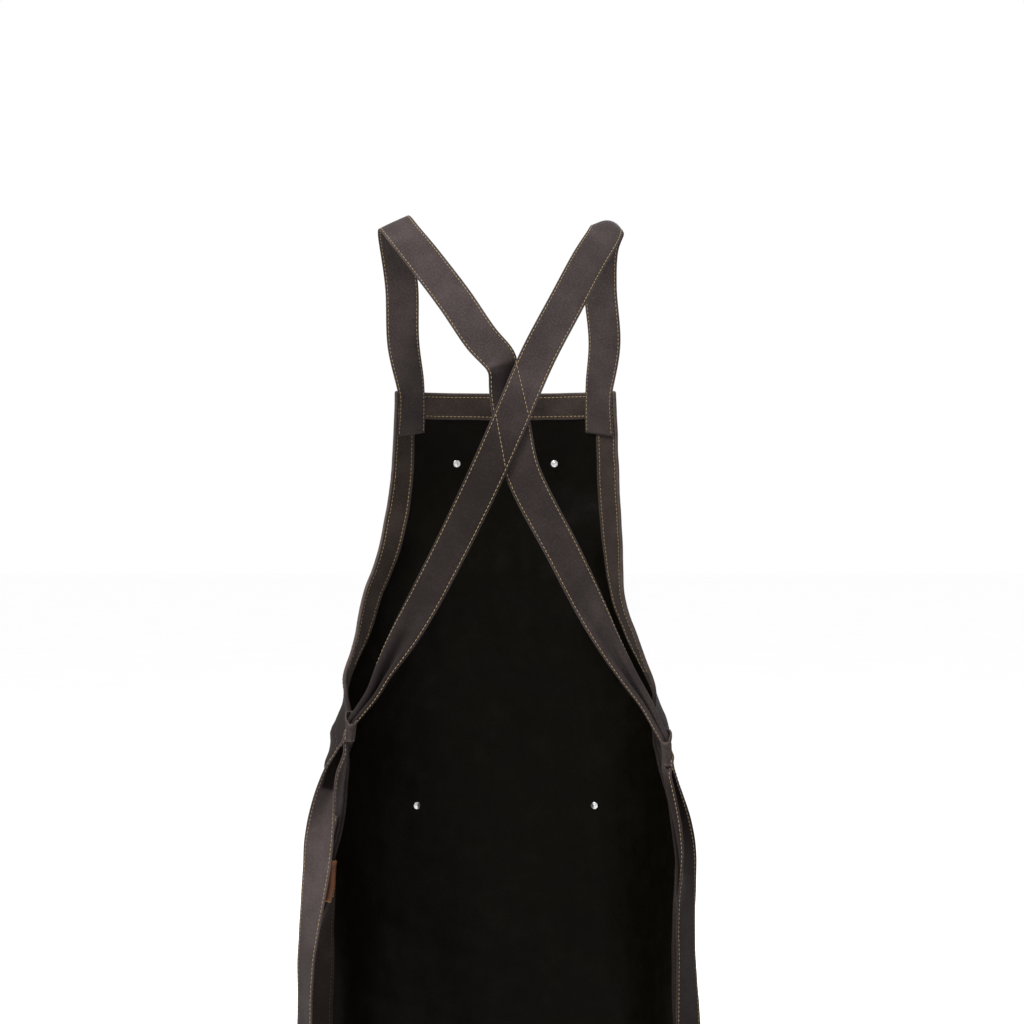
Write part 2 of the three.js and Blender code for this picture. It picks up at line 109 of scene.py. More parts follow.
def ramp(t):
    t = np.clip(t, 0, 1)
    return t * t * (3 - 2 * t)


def bell(x, width):
    return np.exp(-(x / width) ** 2)


def unit(v):
    return v / np.maximum(np.linalg.norm(v, axis=-1, keepdims=True), 1e-12)


def square_to(v, ahead):
    """The part of v that is square to the direction ahead, at unit length."""
    return unit(v - ahead * np.sum(v * ahead, 1)[:, None])


def distances(points):
    """Distance run along a line of points, from 0 at its start."""
    return np.concatenate([[0], np.cumsum(np.linalg.norm(np.diff(points, axis=0), axis=1))])


def read_at(at, places, values):
    """Each column of the values, given at the places, read at other places."""
    return np.stack([np.interp(at, places, column) for column in values.T], 1)


def stacked(*parts):
    """Arrays spread to one shape and set side by side on a new last axis."""
    return np.stack(np.broadcast_arrays(*parts), -1)


def zone(z, top, soft_top, base=None, soft_base=1):
    """1 below the top and above the base, easing to 0 over the soft distances beyond."""
    inside = ramp((top - z) / soft_top)
    return inside if base is None else inside * ramp((z - base) / soft_base)


def between(stations, z):
    """A smooth curve of cubic pieces through (height in mm, value), from top to bottom."""
    zs, vs = np.array(stations, float).T
    last = len(zs) - 1
    low, high = np.maximum(np.arange(last + 1) - 1, 0), np.minimum(np.arange(last + 1) + 1, last)
    slopes = (vs[high] - vs[low]) / (zs[high] - zs[low])
    z = np.clip(np.asarray(z, float) / MM, zs[-1], zs[0])
    i = np.clip(np.searchsorted(-zs, -z, side="right") - 1, 0, last - 1)
    step = zs[i + 1] - zs[i]
    t = (z - zs[i]) / step
    rise, ease, settle = t * t * (3 - 2 * t), t * (1 - t) ** 2, t * t * (t - 1)
    return vs[i] + (vs[i + 1] - vs[i]) * rise + (slopes[i] * ease + slopes[i + 1] * settle) * step


def crumple(u, v, seed, shortest, longest, waves=26):
    """Smooth, seeded unevenness of about unit height, from plane waves in many directions."""
    draw = np.random.RandomState(seed)
    total = np.zeros(np.broadcast(u, v).shape)
    for _ in range(waves):
        size = shortest * (longest / shortest) ** draw.rand()
        angle, phase = TURN * draw.rand(), TURN * draw.rand()
        along = (u * math.cos(angle) + v * math.sin(angle)) / size
        total += (size / longest) ** 0.5 * np.sin(TURN * along + phase)
    return total / math.sqrt(waves)


# ---- The hanging surface ----

def cut_half(z):
    """Half the panel's flat width at a height."""
    t = np.clip((ARMHOLE_TOP - z) / (ARMHOLE_TOP - WAIST), 0, 1)
    return BIB_HALF + (SKIRT_HALF - BIB_HALF) * t ** ARMHOLE_POWER


def slant(z):
    """How much longer a step across the cut edge is along s than square to the edge."""
    reach = 12 * MM
    return np.hypot(1, (cut_half(z - reach) - cut_half(z + reach)) / (2 * reach))


def folds(s, z):
    """How far the hanging cloth stands out of its smooth wrap."""
    flutes = np.sin(TURN * s / 0.158 + 0.7 + 0.5 * np.sin(z * 5))
    small = np.sin(TURN * s / 0.083 + 2.4 + z * 3.1)
    swing = 5.2 * MM * zone(z, WAIST, 0.42) * flutes + 2.2 * MM * zone(z, -0.78, 0.24) * small
    edge = 1 - 0.75 * ramp((np.abs(s) / cut_half(z) - 0.72) / 0.2)
    drag = np.zeros_like(s)
    for side in (1, -1):
        ds, dz = SKIRT_HALF - side * s, z - WAIST
        reach, angle = np.hypot(ds, dz), np.arctan2(dz, ds)
        drag += 2.6 * MM * ramp(reach / 0.05) * bell(reach, 0.17) * np.sin(angle * 7.5 + 0.8 + side * 0.5)
    slack = -3.0 * MM * bell(z + 0.205, 0.026) * bell(s, 0.075)
    sag = 1.7 * MM * np.sin((z + 0.26 + 0.35 * np.abs(s)) * TURN / 0.085) * bell(z + 0.36, 0.12)
    rumple = 0.75 * MM * crumple(s, z, 11, 0.022, 0.085)
    inside = cut_half(z) - np.abs(s)
    sided = lambda left, right: np.where(s > 0, left, right) * MM
    bulge = sided(6.0, 0.5) * bell(inside - 0.044, 0.027) * zone(z, -0.27, 0.08, -0.60, 0.05)
    lean = sided(between(LEFT_LEAN, z), between(RIGHT_LEAN, z)) * ramp((0.10 - inside) / 0.10)
    spread = sided(between(LEFT_SPREAD, z), between(RIGHT_SPREAD, z)) * ramp((0.052 - inside) / 0.045)
    spread = spread + sided(between(LEFT_BELLY, z), 0) * bell(inside - 0.035, 0.024)
    return swing * edge + drag + slack + sag * edge + rumple * (0.55 + 0.45 * edge) + bulge + lean + spread


class Wrap:
    """The wrap and its folds on a fine table; at() reads any point of the cloth from it."""

    STEP = 3 * MM

    def __init__(self):
        margin = 3 * self.STEP
        self.z = np.arange(HEM - margin, BIB_TOP + margin, self.STEP)
        count = int(math.ceil((SKIRT_HALF + margin) / self.STEP))
        self.s = np.arange(-count, count + 1) * self.STEP
        z = self.z[:, None]
        fine = 6
        mid = (np.arange(count * fine) + 0.5) * self.STEP / fine
        half = (cut_half(z - WRAP_REACH) + 2 * cut_half(z) + cut_half(z + WRAP_REACH)) / 4
        part = np.minimum(mid[None, :] / half, 1.06)
        curl, flare = np.radians(between(CURL, z)), np.radians(between(FLARE, z))
        heading = curl * part ** CURL_POWER - flare * ramp((part - FLARE_FROM) / (1 - FLARE_FROM))
        nil = np.zeros((len(self.z), 1))
        run = lambda f: np.hstack([nil, np.cumsum(f(heading), 1)[:, fine - 1::fine]]) * self.STEP / fine
        x, y = run(np.cos), run(np.sin) + between(FRONT_LINE, z) * MM
        x, y = np.hstack([-x[:, :0:-1], x]), np.hstack([y[:, :0:-1], y])
        smooth = np.stack([x, y, np.broadcast_to(z, x.shape)], 2)
        lift = folds(*np.meshgrid(self.s, self.z))
        self.points = smooth + self.normals_of(smooth) * lift[..., None]
        self.normals = self.normals_of(self.points)

    def normals_of(self, points):
        down, across = -np.gradient(points, axis=0), np.gradient(points, axis=1)
        return unit(np.cross(down, across))

    def at(self, s, z, offset=0.0):
        """Points at the offset above the outer face, and the outward normals there."""
        s, z, offset = np.broadcast_arrays(np.asarray(s, float), np.asarray(z, float), offset)
        fs = np.clip((s - self.s[0]) / self.STEP, 0, len(self.s) - 1.001)
        fz = np.clip((z - self.z[0]) / self.STEP, 0, len(self.z) - 1.001)
        i, j = fz.astype(int), fs.astype(int)
        a, b = (fz - i)[..., None], (fs - j)[..., None]
        mix = lambda t: ((t[i, j] * (1 - b) + t[i, j + 1] * b) * (1 - a)
                         + (t[i + 1, j] * (1 - b) + t[i + 1, j + 1] * b) * a)
        normals = unit(mix(self.normals))
        return mix(self.points) + normals * offset[..., None], normals


wrap = Wrap()


# ---- Materials ----

class Nodes:
    """A short way to write a Principled material's node tree."""

    def __init__(self, name):
        self.material = bpy.data.materials.new(name)
        self.material.use_nodes = True
        self.tree = self.material.node_tree
        self.shader = self.tree.nodes["Principled BSDF"]

    def node(self, kind, settings=None, **inputs):
        made = self.tree.nodes.new("ShaderNode" + kind)
        for key, value in (settings or {}).items():
            setattr(made, key, value)
        for key, value in inputs.items():
            self.put(made.inputs[key.replace("_", " ")], value)
        return made

    def put(self, socket, value):
        if isinstance(value, bpy.types.NodeSocket):
            self.tree.links.new(value, socket)
        else:
            socket.default_value = value

    def math(self, operation, a, b=0.0):
        made = self.node("Math", {"operation": operation})
        self.put(made.inputs[0], a)
        self.put(made.inputs[1], b)
        return made.outputs[0]

    def total(self, *terms):
        """The sum of (value, weight) pairs."""
        parts = [self.math("MULTIPLY", value, weight) for value, weight in terms]
        while len(parts) > 1:
            parts[:2] = [self.math("ADD", parts[0], parts[1])]
        return parts[0]

    def wave(self, vector, direction, scale, **inputs):
        return self.node("TexWave", {"bands_direction": direction}, Vector=vector, Scale=scale,
                         **inputs).outputs["Fac"]

    def clamp(self, value):
        return self.node("Clamp", Value=value).outputs[0]

    def mix(self, factor, a, b):
        made = self.node("Mix", {"data_type": "RGBA"})
        self.put(made.inputs[0], factor)
        self.put(made.inputs[6], a)
        self.put(made.inputs[7], b)
        return made.outputs[2]

    def noise(self, vector, scale, detail=3.0, roughness=0.5):
        return self.node("TexNoise", Vector=vector, Scale=scale, Detail=detail,
                         Roughness=roughness).outputs["Fac"]

    def span(self, value, low, high, to_low=0.0, to_high=1.0):
        made = self.node("MapRange", Value=value)
        for key, number in zip(("From Min", "From Max", "To Min", "To Max"), (low, high, to_low, to_high)):
            made.inputs[key].default_value = number
        return made.outputs[0]

    def bump(self, height, distance, strength=1.0, under=None):
        made = self.node("Bump", Height=height, Distance=distance, Strength=strength)
        if under is not None:
            self.put(made.inputs["Normal"], under)
        return made.outputs["Normal"]

    def cloth_map(self):
        return self.node("UVMap", {"uv_map": "cloth"}).outputs[0]

    def attribute(self, name):
        return self.node("Attribute", {"attribute_name": name}).outputs["Fac"]

    def finish(self, **inputs):
        for key, value in inputs.items():
            self.put(self.shader.inputs[key.replace("_", " ")], value)
        return self.material


def woven(n, place, yarn):
    """Height of a twill: slanting ribs, cut across by the yarns of the other direction."""
    scale = TURN / (20 * yarn)
    turned = n.node("Mapping", Vector=place, Rotation=(0, 0, math.radians(68))).outputs[0]
    ribs = n.wave(place, "DIAGONAL", scale, Distortion=0.6, Detail=1.0)
    yarns = n.wave(turned, "X", scale, Distortion=0.4, Detail=1.0)
    return n.total((ribs, 0.65), (yarns, 0.35))


def canvas_material(name, deep, worn_and_painted_light, yarn):
    """Brown cloth: paler where the attribute value is above 0, along edges and seams and in painted
    highlights; mixed towards near black, as painted shade, where it is below.
    """
    n = Nodes(name)
    place = n.cloth_map()
    weave = woven(n, place, yarn)
    flecks = n.span(n.noise(place, 520, 3, 0.6), 0.42, 0.68)
    cloudy = n.span(n.noise(place, 34, 4, 0.55), 0.35, 0.7)
    washed = n.span(n.noise(place, 7, 3, 0.5), 0.35, 0.65)
    # Above 0 the attribute pales the tone: edges and seams, and painted highlights where a strap faces the
    # light.
    rubbed_and_painted_light = n.math("MULTIPLY", n.attribute("wear_and_painted_light"), n.span(n.noise(place, 190, 3, 0.6), 0.3, 0.6, 0.45, 1.0))
    tone = n.clamp(n.total((flecks, 0.30), (cloudy, 0.26), (washed, 0.16),
                           (n.math("SUBTRACT", weave, 0.5), 0.35), (rubbed_and_painted_light, 0.55)))
    fine = n.bump(n.total((weave, 1.0), (flecks, 0.5)), 0.00013, 0.55)
    soft = n.bump(n.noise(place, 95, 4, 0.55), 0.0006, 0.35, fine)
    rough = n.span(n.math("ADD", flecks, cloudy), 0, 2, 0.92, 0.76)
    # Below 0 the attribute mixes the colour towards a warm near black: painted shade in troughs, creases and
    # shadowed parts.
    lit = n.span(n.attribute("wear_and_painted_light"), -1, 0, 0.12, 1.0)
    colour = n.mix(lit, (0.0038, 0.0018, 0.0014, 1), n.mix(tone, deep, worn_and_painted_light))
    return n.finish(Base_Color=colour, Roughness=rough, Normal=soft,
                    Sheen_Weight=0.02, Sheen_Roughness=0.45, Specular_IOR_Level=0.08)


def lining_material():
    n = Nodes("black_coated_lining")
    place = n.cloth_map()
    weave = woven(n, place, 0.55 * MM)
    creases = n.node("TexVoronoi", {"feature": "DISTANCE_TO_EDGE"}, Scale=42.0, Vector=place)
    cracks = n.span(creases.outputs["Distance"], 0.0, 0.06, 1.0, 0.0)
    scuffed = n.span(n.noise(place, 26, 5, 0.6), 0.5, 0.75)
    tone = n.total((cracks, 0.07), (scuffed, 0.35))
    fine = n.bump(weave, 0.00006, 0.35)
    crinkled = n.bump(n.noise(place, 120, 5, 0.62), 0.0011, 0.45, fine)
    rough = n.span(n.noise(place, 60, 4, 0.6), 0.3, 0.7, 0.4, 0.58)
    return n.finish(Base_Color=n.mix(tone, (0.0017, 0.0013, 0.0006, 1), (0.0050, 0.0041, 0.0024, 1)),
                    Roughness=rough, Normal=crinkled, Specular_IOR_Level=0.035)


def thread_material(name, deep, light):
    n = Nodes(name)
    place = n.cloth_map()
    plies = n.wave(place, "DIAGONAL", 520.0)
    tone = n.total((plies, 0.45), (n.noise(place, 60, 3), 0.55))
    return n.finish(Base_Color=n.mix(tone, deep, light), Roughness=n.span(tone, 0, 1, 0.66, 0.55),
                    Normal=n.bump(plies, 0.0001, 0.6), Specular_IOR_Level=0.25)


def leather_material(name, deep, light, grain):
    n = Nodes(name)
    place = n.cloth_map()
    cells = n.node("TexVoronoi", {"feature": "SMOOTH_F1"}, Vector=place, Scale=grain).outputs["Distance"]
    pulled = n.span(n.noise(place, 90, 5, 0.6), 0.35, 0.7)
    # The attribute pales the leather: the painted highlight along the tab's rims.
    tone = n.clamp(n.total((pulled, 0.7), (n.attribute("wear_and_painted_light"), 0.6)))
    grainy = n.bump(cells, 0.00022, 0.6)
    return n.finish(Base_Color=n.mix(tone, deep, light), Roughness=n.span(pulled, 0, 1, 0.6, 0.42),
                    Normal=n.bump(n.noise(place, 260, 4, 0.6), 0.0004, 0.35, grainy),
                    Specular_IOR_Level=0.22)


def rivet_material():
    n = Nodes("nickel_rivet")
    place = n.node("TexCoord").outputs["Object"]
    brushed = n.noise(place, 900, 4, 0.6)
    stained = n.span(n.noise(place, 260, 3, 0.55), 0.45, 0.75)
    return n.finish(Base_Color=n.mix(stained, (0.55, 0.55, 0.56, 1), (0.34, 0.32, 0.29, 1)), Metallic=1.0,
                    Roughness=n.span(brushed, 0.3, 0.7, 0.26, 0.46), Normal=n.bump(brushed, 0.00008, 0.35))


CANVAS_LOOK = canvas_material("brown_canvas", (0.020, 0.0150, 0.0134, 1), (0.064, 0.049, 0.044, 1), 0.95 * MM)
# The turned-in facings are the same canvas painted darker: a painted-shade copy for the shadowed inside of
# the apron.
FACING_PAINTED_SHADE_LOOK = canvas_material("turned_canvas_painted_shade", (0.015, 0.0108, 0.0088, 1), (0.052, 0.039, 0.033, 1),
                              0.95 * MM)
STRAP_LOOK = canvas_material("brown_strap_twill", (0.019, 0.0145, 0.0140, 1), (0.062, 0.048, 0.0465, 1),
                             0.85 * MM)
LINING_LOOK = lining_material()
THREAD_LOOK = thread_material("tan_thread", (0.13, 0.088, 0.040, 1), (0.30, 0.22, 0.115, 1))
# The same tan thread painted dark: painted shade on the side seams down the skirt.
THREAD_PAINTED_SHADE_LOOK = thread_material("tan_thread_painted_shade", (0.012, 0.0085, 0.006, 1), (0.034, 0.025, 0.018, 1))
LEATHER_LOOK = leather_material("tan_leather_face", (0.050, 0.016, 0.005, 1), (0.125, 0.042, 0.013, 1), 1500)
CUT_LEATHER_LOOK = leather_material("cut_leather_edge", (0.17, 0.080, 0.029, 1), (0.30, 0.165, 0.068, 1),
                                    2600)
RIVET_LOOK = rivet_material()


# ---- Meshes ----

def add_object(name, data):
    made = bpy.data.objects.new(name, data)
    bpy.context.scene.collection.objects.link(made)
    return made


def new_piece(name, points, quads, cloth_uv, looks, wear_and_painted_light=None, shade=None):
    """A smooth-shaded mesh with the cloth's own map in metres; shade is each face's material."""
    mesh = bpy.data.meshes.new(name)
    mesh.from_pydata(points.reshape(-1, 3).tolist(), [], quads)
    for look in looks:
        mesh.materials.append(look)
    index = np.zeros(len(mesh.loops), np.int32)
    mesh.loops.foreach_get("vertex_index", index)
    uv = mesh.uv_layers.new(name="cloth")
    uv.data.foreach_set("uv", np.asarray(cloth_uv, np.float32).reshape(-1, 2)[index].ravel())
    if wear_and_painted_light is not None:
        rubbed_and_painted_light = mesh.attributes.new("wear_and_painted_light", "FLOAT", "POINT")
        rubbed_and_painted_light.data.foreach_set("value", np.asarray(wear_and_painted_light, np.float32).ravel())
    if shade is not None:
        mesh.polygons.foreach_set("material_index", np.asarray(shade, np.int32))
    mesh.polygons.foreach_set("use_smooth", np.ones(len(mesh.polygons), bool))
    mesh.update()
    piece = add_object(name, mesh)
    return piece


def riding(piece, *nodes):
    """A piece that stands for CAD nodes and moves with the apron."""
    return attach(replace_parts(piece, *nodes) if nodes else piece, "apron")


def grid_quads(rows, columns, start=0, flip=False, wrap_columns=False):
    i, j = np.meshgrid(np.arange(rows - 1), np.arange(columns - (not wrap_columns)), indexing="ij")
    next_j = (j + 1) % columns
    a, b = start + i * columns + j, start + i * columns + next_j
    c, d = start + (i + 1) * columns + next_j, start + (i + 1) * columns + j
    order = (a, b, c, d) if flip else (a, d, c, b)
    return np.stack([q.ravel() for q in order], 1).tolist()


def border_of(rows, columns):
    """Grid indices round the outside: along the top, down, back along the bottom and up."""
    top = [(0, j) for j in range(columns)]
    right = [(i, columns - 1) for i in range(1, rows)]
    base = [(rows - 1, j) for j in range(columns - 2, -1, -1)]
    left = [(i, 0) for i in range(rows - 2, 0, -1)]
    return np.array(top + right + base + left)


def cloth_layer(name, s, z, face, back, look, fold_to=None, wear_and_painted_light=None, steps=5):
    """A closed layer of cloth on the wrap between two offsets, with a rounded edge all round.

    fold_to is the offset that the edge turns to, for cloth that folds round the layers inside.
    """
    rows, columns = s.shape
    face, back = np.broadcast_to(face, s.shape), np.broadcast_to(back, s.shape)
    outer, normals = wrap.at(s, z, face)
    inner, _ = wrap.at(s, z, back)
    border = border_of(rows, columns)
    bi, bj = border[:, 0], border[:, 1]
    ni, nj = np.clip(bi, 1, rows - 2), np.clip(bj, 1, columns - 2)
    away = unit(outer[bi, bj] - outer[ni, nj])
    end = back[bi, bj] if fold_to is None else np.full(len(border), fold_to)
    start = face[bi, bj]
    radius = (start - end) / 2
    rings, ring_uv = [], []
    flat_uv = np.stack([s, z], -1)
    for k in range(1, steps + (fold_to is not None)):
        angle = math.pi * k / steps
        drop, out = radius * (1 - math.cos(angle)), radius * math.sin(angle)
        rings.append(outer[bi, bj] - normals[bi, bj] * drop[:, None] + away * out[:, None])
        ring_uv.append(flat_uv[bi, bj] + 0.6 * k * MM)
    points = np.vstack([outer.reshape(-1, 3), *rings, inner.reshape(-1, 3)])
    flat_uv = flat_uv.reshape(-1, 2)
    uv = np.vstack([flat_uv, *ring_uv, flat_uv + 0.4 * MM])
    quads = grid_quads(rows, columns)
    first_ring, length = rows * columns, len(border)
    inner_start = first_ring + length * len(rings)
    quads += grid_quads(rows, columns, inner_start, flip=True)
    loops = [bi * columns + bj]
    loops += [first_ring + k * length + np.arange(length) for k in range(len(rings))]
    loops.append(inner_start + bi * columns + bj)
    for upper, lower in zip(loops, loops[1:]):
        quads += np.stack([upper, np.roll(upper, -1), np.roll(lower, -1), lower], 1).tolist()
    worn_and_painted_light = np.zeros(len(points))
    if wear_and_painted_light is not None:
        wear_and_painted_light = np.clip(wear_and_painted_light, -1, 1)
        worn_and_painted_light[:first_ring] = worn_and_painted_light[inner_start:] = wear_and_painted_light.ravel()
        worn_and_painted_light[first_ring:inner_start] = np.tile(wear_and_painted_light[bi, bj], len(rings))
    return new_piece(name, points, quads, uv, [look], worn_and_painted_light)


# ---- Stitching ----

def along_line(points, normals, spacing=STITCH_PITCH):
    """Stitch places on a line over cloth: centres, directions and normals."""
    length = distances(points)
    marks = np.arange(0.5 * spacing, length[-1] - 0.4 * spacing, spacing)
    if len(marks) == 0:
        return np.zeros((0, 3, 3))
    place = lambda at: read_at(at, length, points)
    ahead = unit(place(marks + spacing * 0.25) - place(marks - spacing * 0.25))
    return np.stack([place(marks), ahead, square_to(unit(read_at(marks, length, normals)), ahead)], 1)


def thread_piece(name, runs, length=STITCH_LENGTH, look=THREAD_LOOK):
    """All the stitches of a seam as one mesh: short threads that dive into the cloth."""
    places = np.concatenate([r for r in runs if len(r)])
    count, sides = len(places), 6
    rings = np.array([-1, -0.82, -0.3, 0.3, 0.82, 1])
    swell = np.array([0.45, 0.85, 1, 1, 0.85, 0.45])
    angle = TURN * np.arange(sides) / sides
    draw = np.random.RandomState(5)
    skew, size = draw.uniform(-0.06, 0.06, count), draw.uniform(0.93, 1.07, count)
    centre, ahead, up = places[:, 0], places[:, 1], places[:, 2]
    ahead = unit(ahead + np.cross(up, ahead) * skew[:, None])
    side = np.cross(up, ahead)
    centre, ahead, up, side = (v[:, None, None] for v in (centre, ahead, up, side))
    along = rings * length / 2
    height = STITCH_LIFT + THREAD * (0.9 * (1 - rings ** 4) - 0.55)
    ring = side * np.cos(angle)[:, None] + up * np.sin(angle)[:, None]
    points = (centre + ahead * (along[None, :, None] * size[:, None, None])[..., None]
              + up * height[None, :, None, None] + ring * (THREAD * swell)[None, :, None, None])
    block = len(rings) * sides
    shift = np.arange(count)[:, None, None] * block
    base = np.array(grid_quads(len(rings), sides, wrap_columns=True, flip=True))
    caps = np.array([list(range(sides))[::-1], [block - sides + k for k in range(sides)]])
    quads = (base[None] + shift).reshape(-1, 4).tolist() + (caps[None] + shift).reshape(-1, sides).tolist()
    uv = stacked(along[None, :, None] + np.arange(count)[:, None, None] * 0.005, angle * THREAD)
    return new_piece(name, points, quads, uv, [look])


# ---- The panel: canvas, lining and facings ----

EDGE_LINES = np.array([0, 0.7, 1.5, 2.3, 3.2, 4.4, 7.5, 11, 15, 18.6, 20.2, 21.2, 22.2, 23.2, 24.3]) * MM
HEM_SEAMS = (SEAM_IN, 22.2 * MM)


def panel_grid():
    """s and z of the panel's grid: lines that follow the cut edge, and an even middle."""
    inner = np.arange(BIB_TOP - 28 * MM, HEM + 28 * MM, -4.6 * MM)
    z = np.concatenate([BIB_TOP - EDGE_LINES, inner, (HEM + EDGE_LINES)[::-1]])[:, None]
    half, slope = cut_half(z), slant(z)
    right = half - EDGE_LINES[None, :] * slope
    even = np.linspace(-1, 1, 104)[None, :] * (half - 27 * MM * slope)
    s = np.hstack([-right, even, right[:, ::-1]])
    return s, np.broadcast_to(z, s.shape)


def edge_distance(s, z):
    """Distance square to the nearest cut edge of the panel."""
    side = (cut_half(z) - np.abs(s)) / slant(z)
    return np.minimum(np.minimum(side, BIB_TOP - z), z - HEM)


def seam_relief(s, z, sign=1):
    """Grooves along the hem's two seams, and the ropy puckers that they leave between them."""
    away = edge_distance(s, z)
    groove = sum(bell(away - seam, 1.3 * MM) for seam in HEM_SEAMS)
    run = np.where(np.abs(s) > cut_half(z) - 0.03 * slant(z), z, s)
    pucker = np.sin(TURN * (run / 0.0125 + away / 0.034)) * crumple(run, away * 0, 23, 0.03, 0.12)
    band = ramp(away / (3 * MM)) * ramp((25 * MM - away) / (3 * MM))
    return sign * (-0.42 * MM * groove) + 0.42 * MM * pucker * band


def make_panel():
    s, z = panel_grid()
    away = edge_distance(s, z)
    # Painted shade: between waist and hip the panel darkens towards its side edges, and its paler edges fade.
    shaded = zone(z, -0.46, 0.04, -0.74, 0.06)
    wear_and_painted_light = (0.9 * bell(away, 1.6 * MM) + 0.25 * bell(away - 22 * MM, 3 * MM)) * (1 - 0.8 * shaded)
    wear_and_painted_light += 0.3 * ramp(crumple(s, z, 3, 0.02, 0.09) - 0.6)
    wear_and_painted_light -= np.where(s > 0, 0.72, 0.85) * ramp((60 * MM - away) / (30 * MM)) * shaded
    shell = cloth_layer("canvas_panel", s, z, seam_relief(s, z), -CANVAS, CANVAS_LOOK,
                        fold_to=FACING_BACK - 0.1 * MM, wear_and_painted_light=wear_and_painted_light)
    middle = np.arange(BIB_TOP - 7 * MM, HEM + 5 * MM, -5.2 * MM)
    z = np.concatenate([[BIB_TOP - 1 * MM], middle, [HEM + 1 * MM]])[:, None]
    s = np.linspace(-1, 1, 118)[None, :] * (cut_half(z) - 1.2 * MM * slant(z))
    z = np.broadcast_to(z, s.shape)
    crease = 0.32 * MM * crumple(s, z, 7, 0.012, 0.05, 34)
    lining = cloth_layer("black_lining", s, z, LINING_FACE, LINING_BACK - 0.1 * MM + crease,
                         LINING_LOOK)
    return riding(shell, "shell_panel"), riding(lining, "lining_panel")


def strip_grid(z_lines, side):
    """A facing's grid: from its turned inner edge to the panel's cut edge."""
    z = z_lines[:, None]
    across = np.array([25, 24.4, 23.4, 22.4, 21.4, 19, 15, 11, 7, 4.2, 3.2, 2.3, 1.4, 0.6, 0.1]) * MM
    s = cut_half(z) - across[None, :] * slant(z)
    s = s if side > 0 else -s[:, ::-1]
    return s, np.broadcast_to(z, s.shape)


def facing(name, s, z):
    """The turned-in edge, thickest at its two folds, seen on the wearer's side."""
    away = edge_distance(s, z)
    turned = 0.5 * MM * bell(away - 24 * MM, 1.8 * MM)
    wear_and_painted_light = 0.35 * bell(away - 25 * MM, 1.5 * MM) + 0.4 * bell(away, 1.5 * MM)
    # Below the waist the facings' paler folds fade out and painted shade darkens them.
    wear_and_painted_light = wear_and_painted_light * ramp((z + 0.56) / 0.1) - 0.55 * zone(z, -0.45, 0.09)
    return riding(cloth_layer(name, s, z, FACING_FACE, FACING_BACK - turned + seam_relief(s, z, sign=-1),
                              FACING_PAINTED_SHADE_LOOK, wear_and_painted_light=wear_and_painted_light, steps=4), name.replace("_cloth", ""))


def even_lines(start, stop, spacing=4 * MM):
    return np.linspace(start, stop, max(int(abs(stop - start) / spacing), 4))


def make_facings():
    """The turned-in strips, by piece name."""
    grids = {}
    for side, sign in (("left", 1), ("right", -1)):
        armhole = even_lines(BIB_TOP - FACING_WIDTH - 0.4 * MM, WAIST)
        edge = even_lines(WAIST - 0.5 * MM, HEM + FACING_WIDTH + 0.4 * MM)
        grids["armhole_facing_cloth_" + side] = strip_grid(armhole, sign)
        grids["side_hem_cloth_" + side] = strip_grid(edge, sign)
    across = np.array([0.1, 0.8, 1.5, 2.3, 3.2, 4.4, 8, 12, 16, 19.5, 21.2, 22.2, 23.2, 24.4, 25]) * MM
    for name, lines in (("bib_top_facing_cloth", BIB_TOP - across),
                        ("bottom_hem_cloth", (HEM + across)[::-1])):
        half = cut_half(lines[:, None]) - 0.1 * MM
        grids[name] = np.broadcast_arrays(np.linspace(-1, 1, 120) * half, lines[:, None])
    return {name: facing(name, *grid) for name, grid in grids.items()}


def on_wrap(s, z, offset):
    points, normals = wrap.at(s, z, offset)
    return along_line(points, normals if np.mean(offset) > -1 * MM else -normals)


def hem_line(inset, part):
    """A seam at one distance inside the cut edge: the armholes and sides, the top or the hem."""
    if part in (1, -1):
        z = np.linspace(BIB_TOP - inset, HEM + inset, 900)
        return part * (cut_half(z) - inset * slant(z)), z
    z = BIB_TOP - inset if part == "top" else HEM + inset
    s = np.linspace(-1, 1, 500) * (cut_half(z) - inset)
    return s, np.full(500, z)


def make_panel_thread():
    """The hem's seams: pale thread round the bib and along the foot, and down the skirt's sides the same
    thread painted dark as shade.
    """
    outside, bib, skirt = [], [], []
    for inset in HEM_SEAMS:
        for part in (1, -1, "top", "hem"):
            s, z = hem_line(inset, part)
            on_bib = z > WAIST + 60 * MM
            low_face = skirt if part in (1, -1) else outside
            for keep, runs, face in ((on_bib, bib, outside), (~on_bib, skirt, low_face)):
                if keep.sum() > 2:
                    s2, z2 = s[keep], z[keep]
                    face.append(on_wrap(s2, z2, seam_relief(s2, z2)))
                    runs.append(on_wrap(s2, z2, FACING_BACK - 0.15 * MM + seam_relief(s2, z2, sign=-1)))
    return [riding(thread_piece("panel_stitching_outside", outside)),
            riding(thread_piece("bib_stitching_inside", bib)),
            riding(thread_piece("skirt_stitching", skirt, look=THREAD_PAINTED_SHADE_LOOK))]


# ---- Pockets and rivets ----

POCKET_CLOTH = 1.2 * MM
Pocket = namedtuple("Pocket", "low high mouth base bulge name")
CHEST, *HIPS = (Pocket(*np.array(sizes) * MM, name) for *sizes, name in (
    (-62, 62, -235, -355, 8, "chest_pocket"), (92, 278, -608, -800, 14, "hip_pocket_left"),
    (-278, -92, -608, -800, 14, "hip_pocket_right")))
MOUTH_HEM = 20 * MM


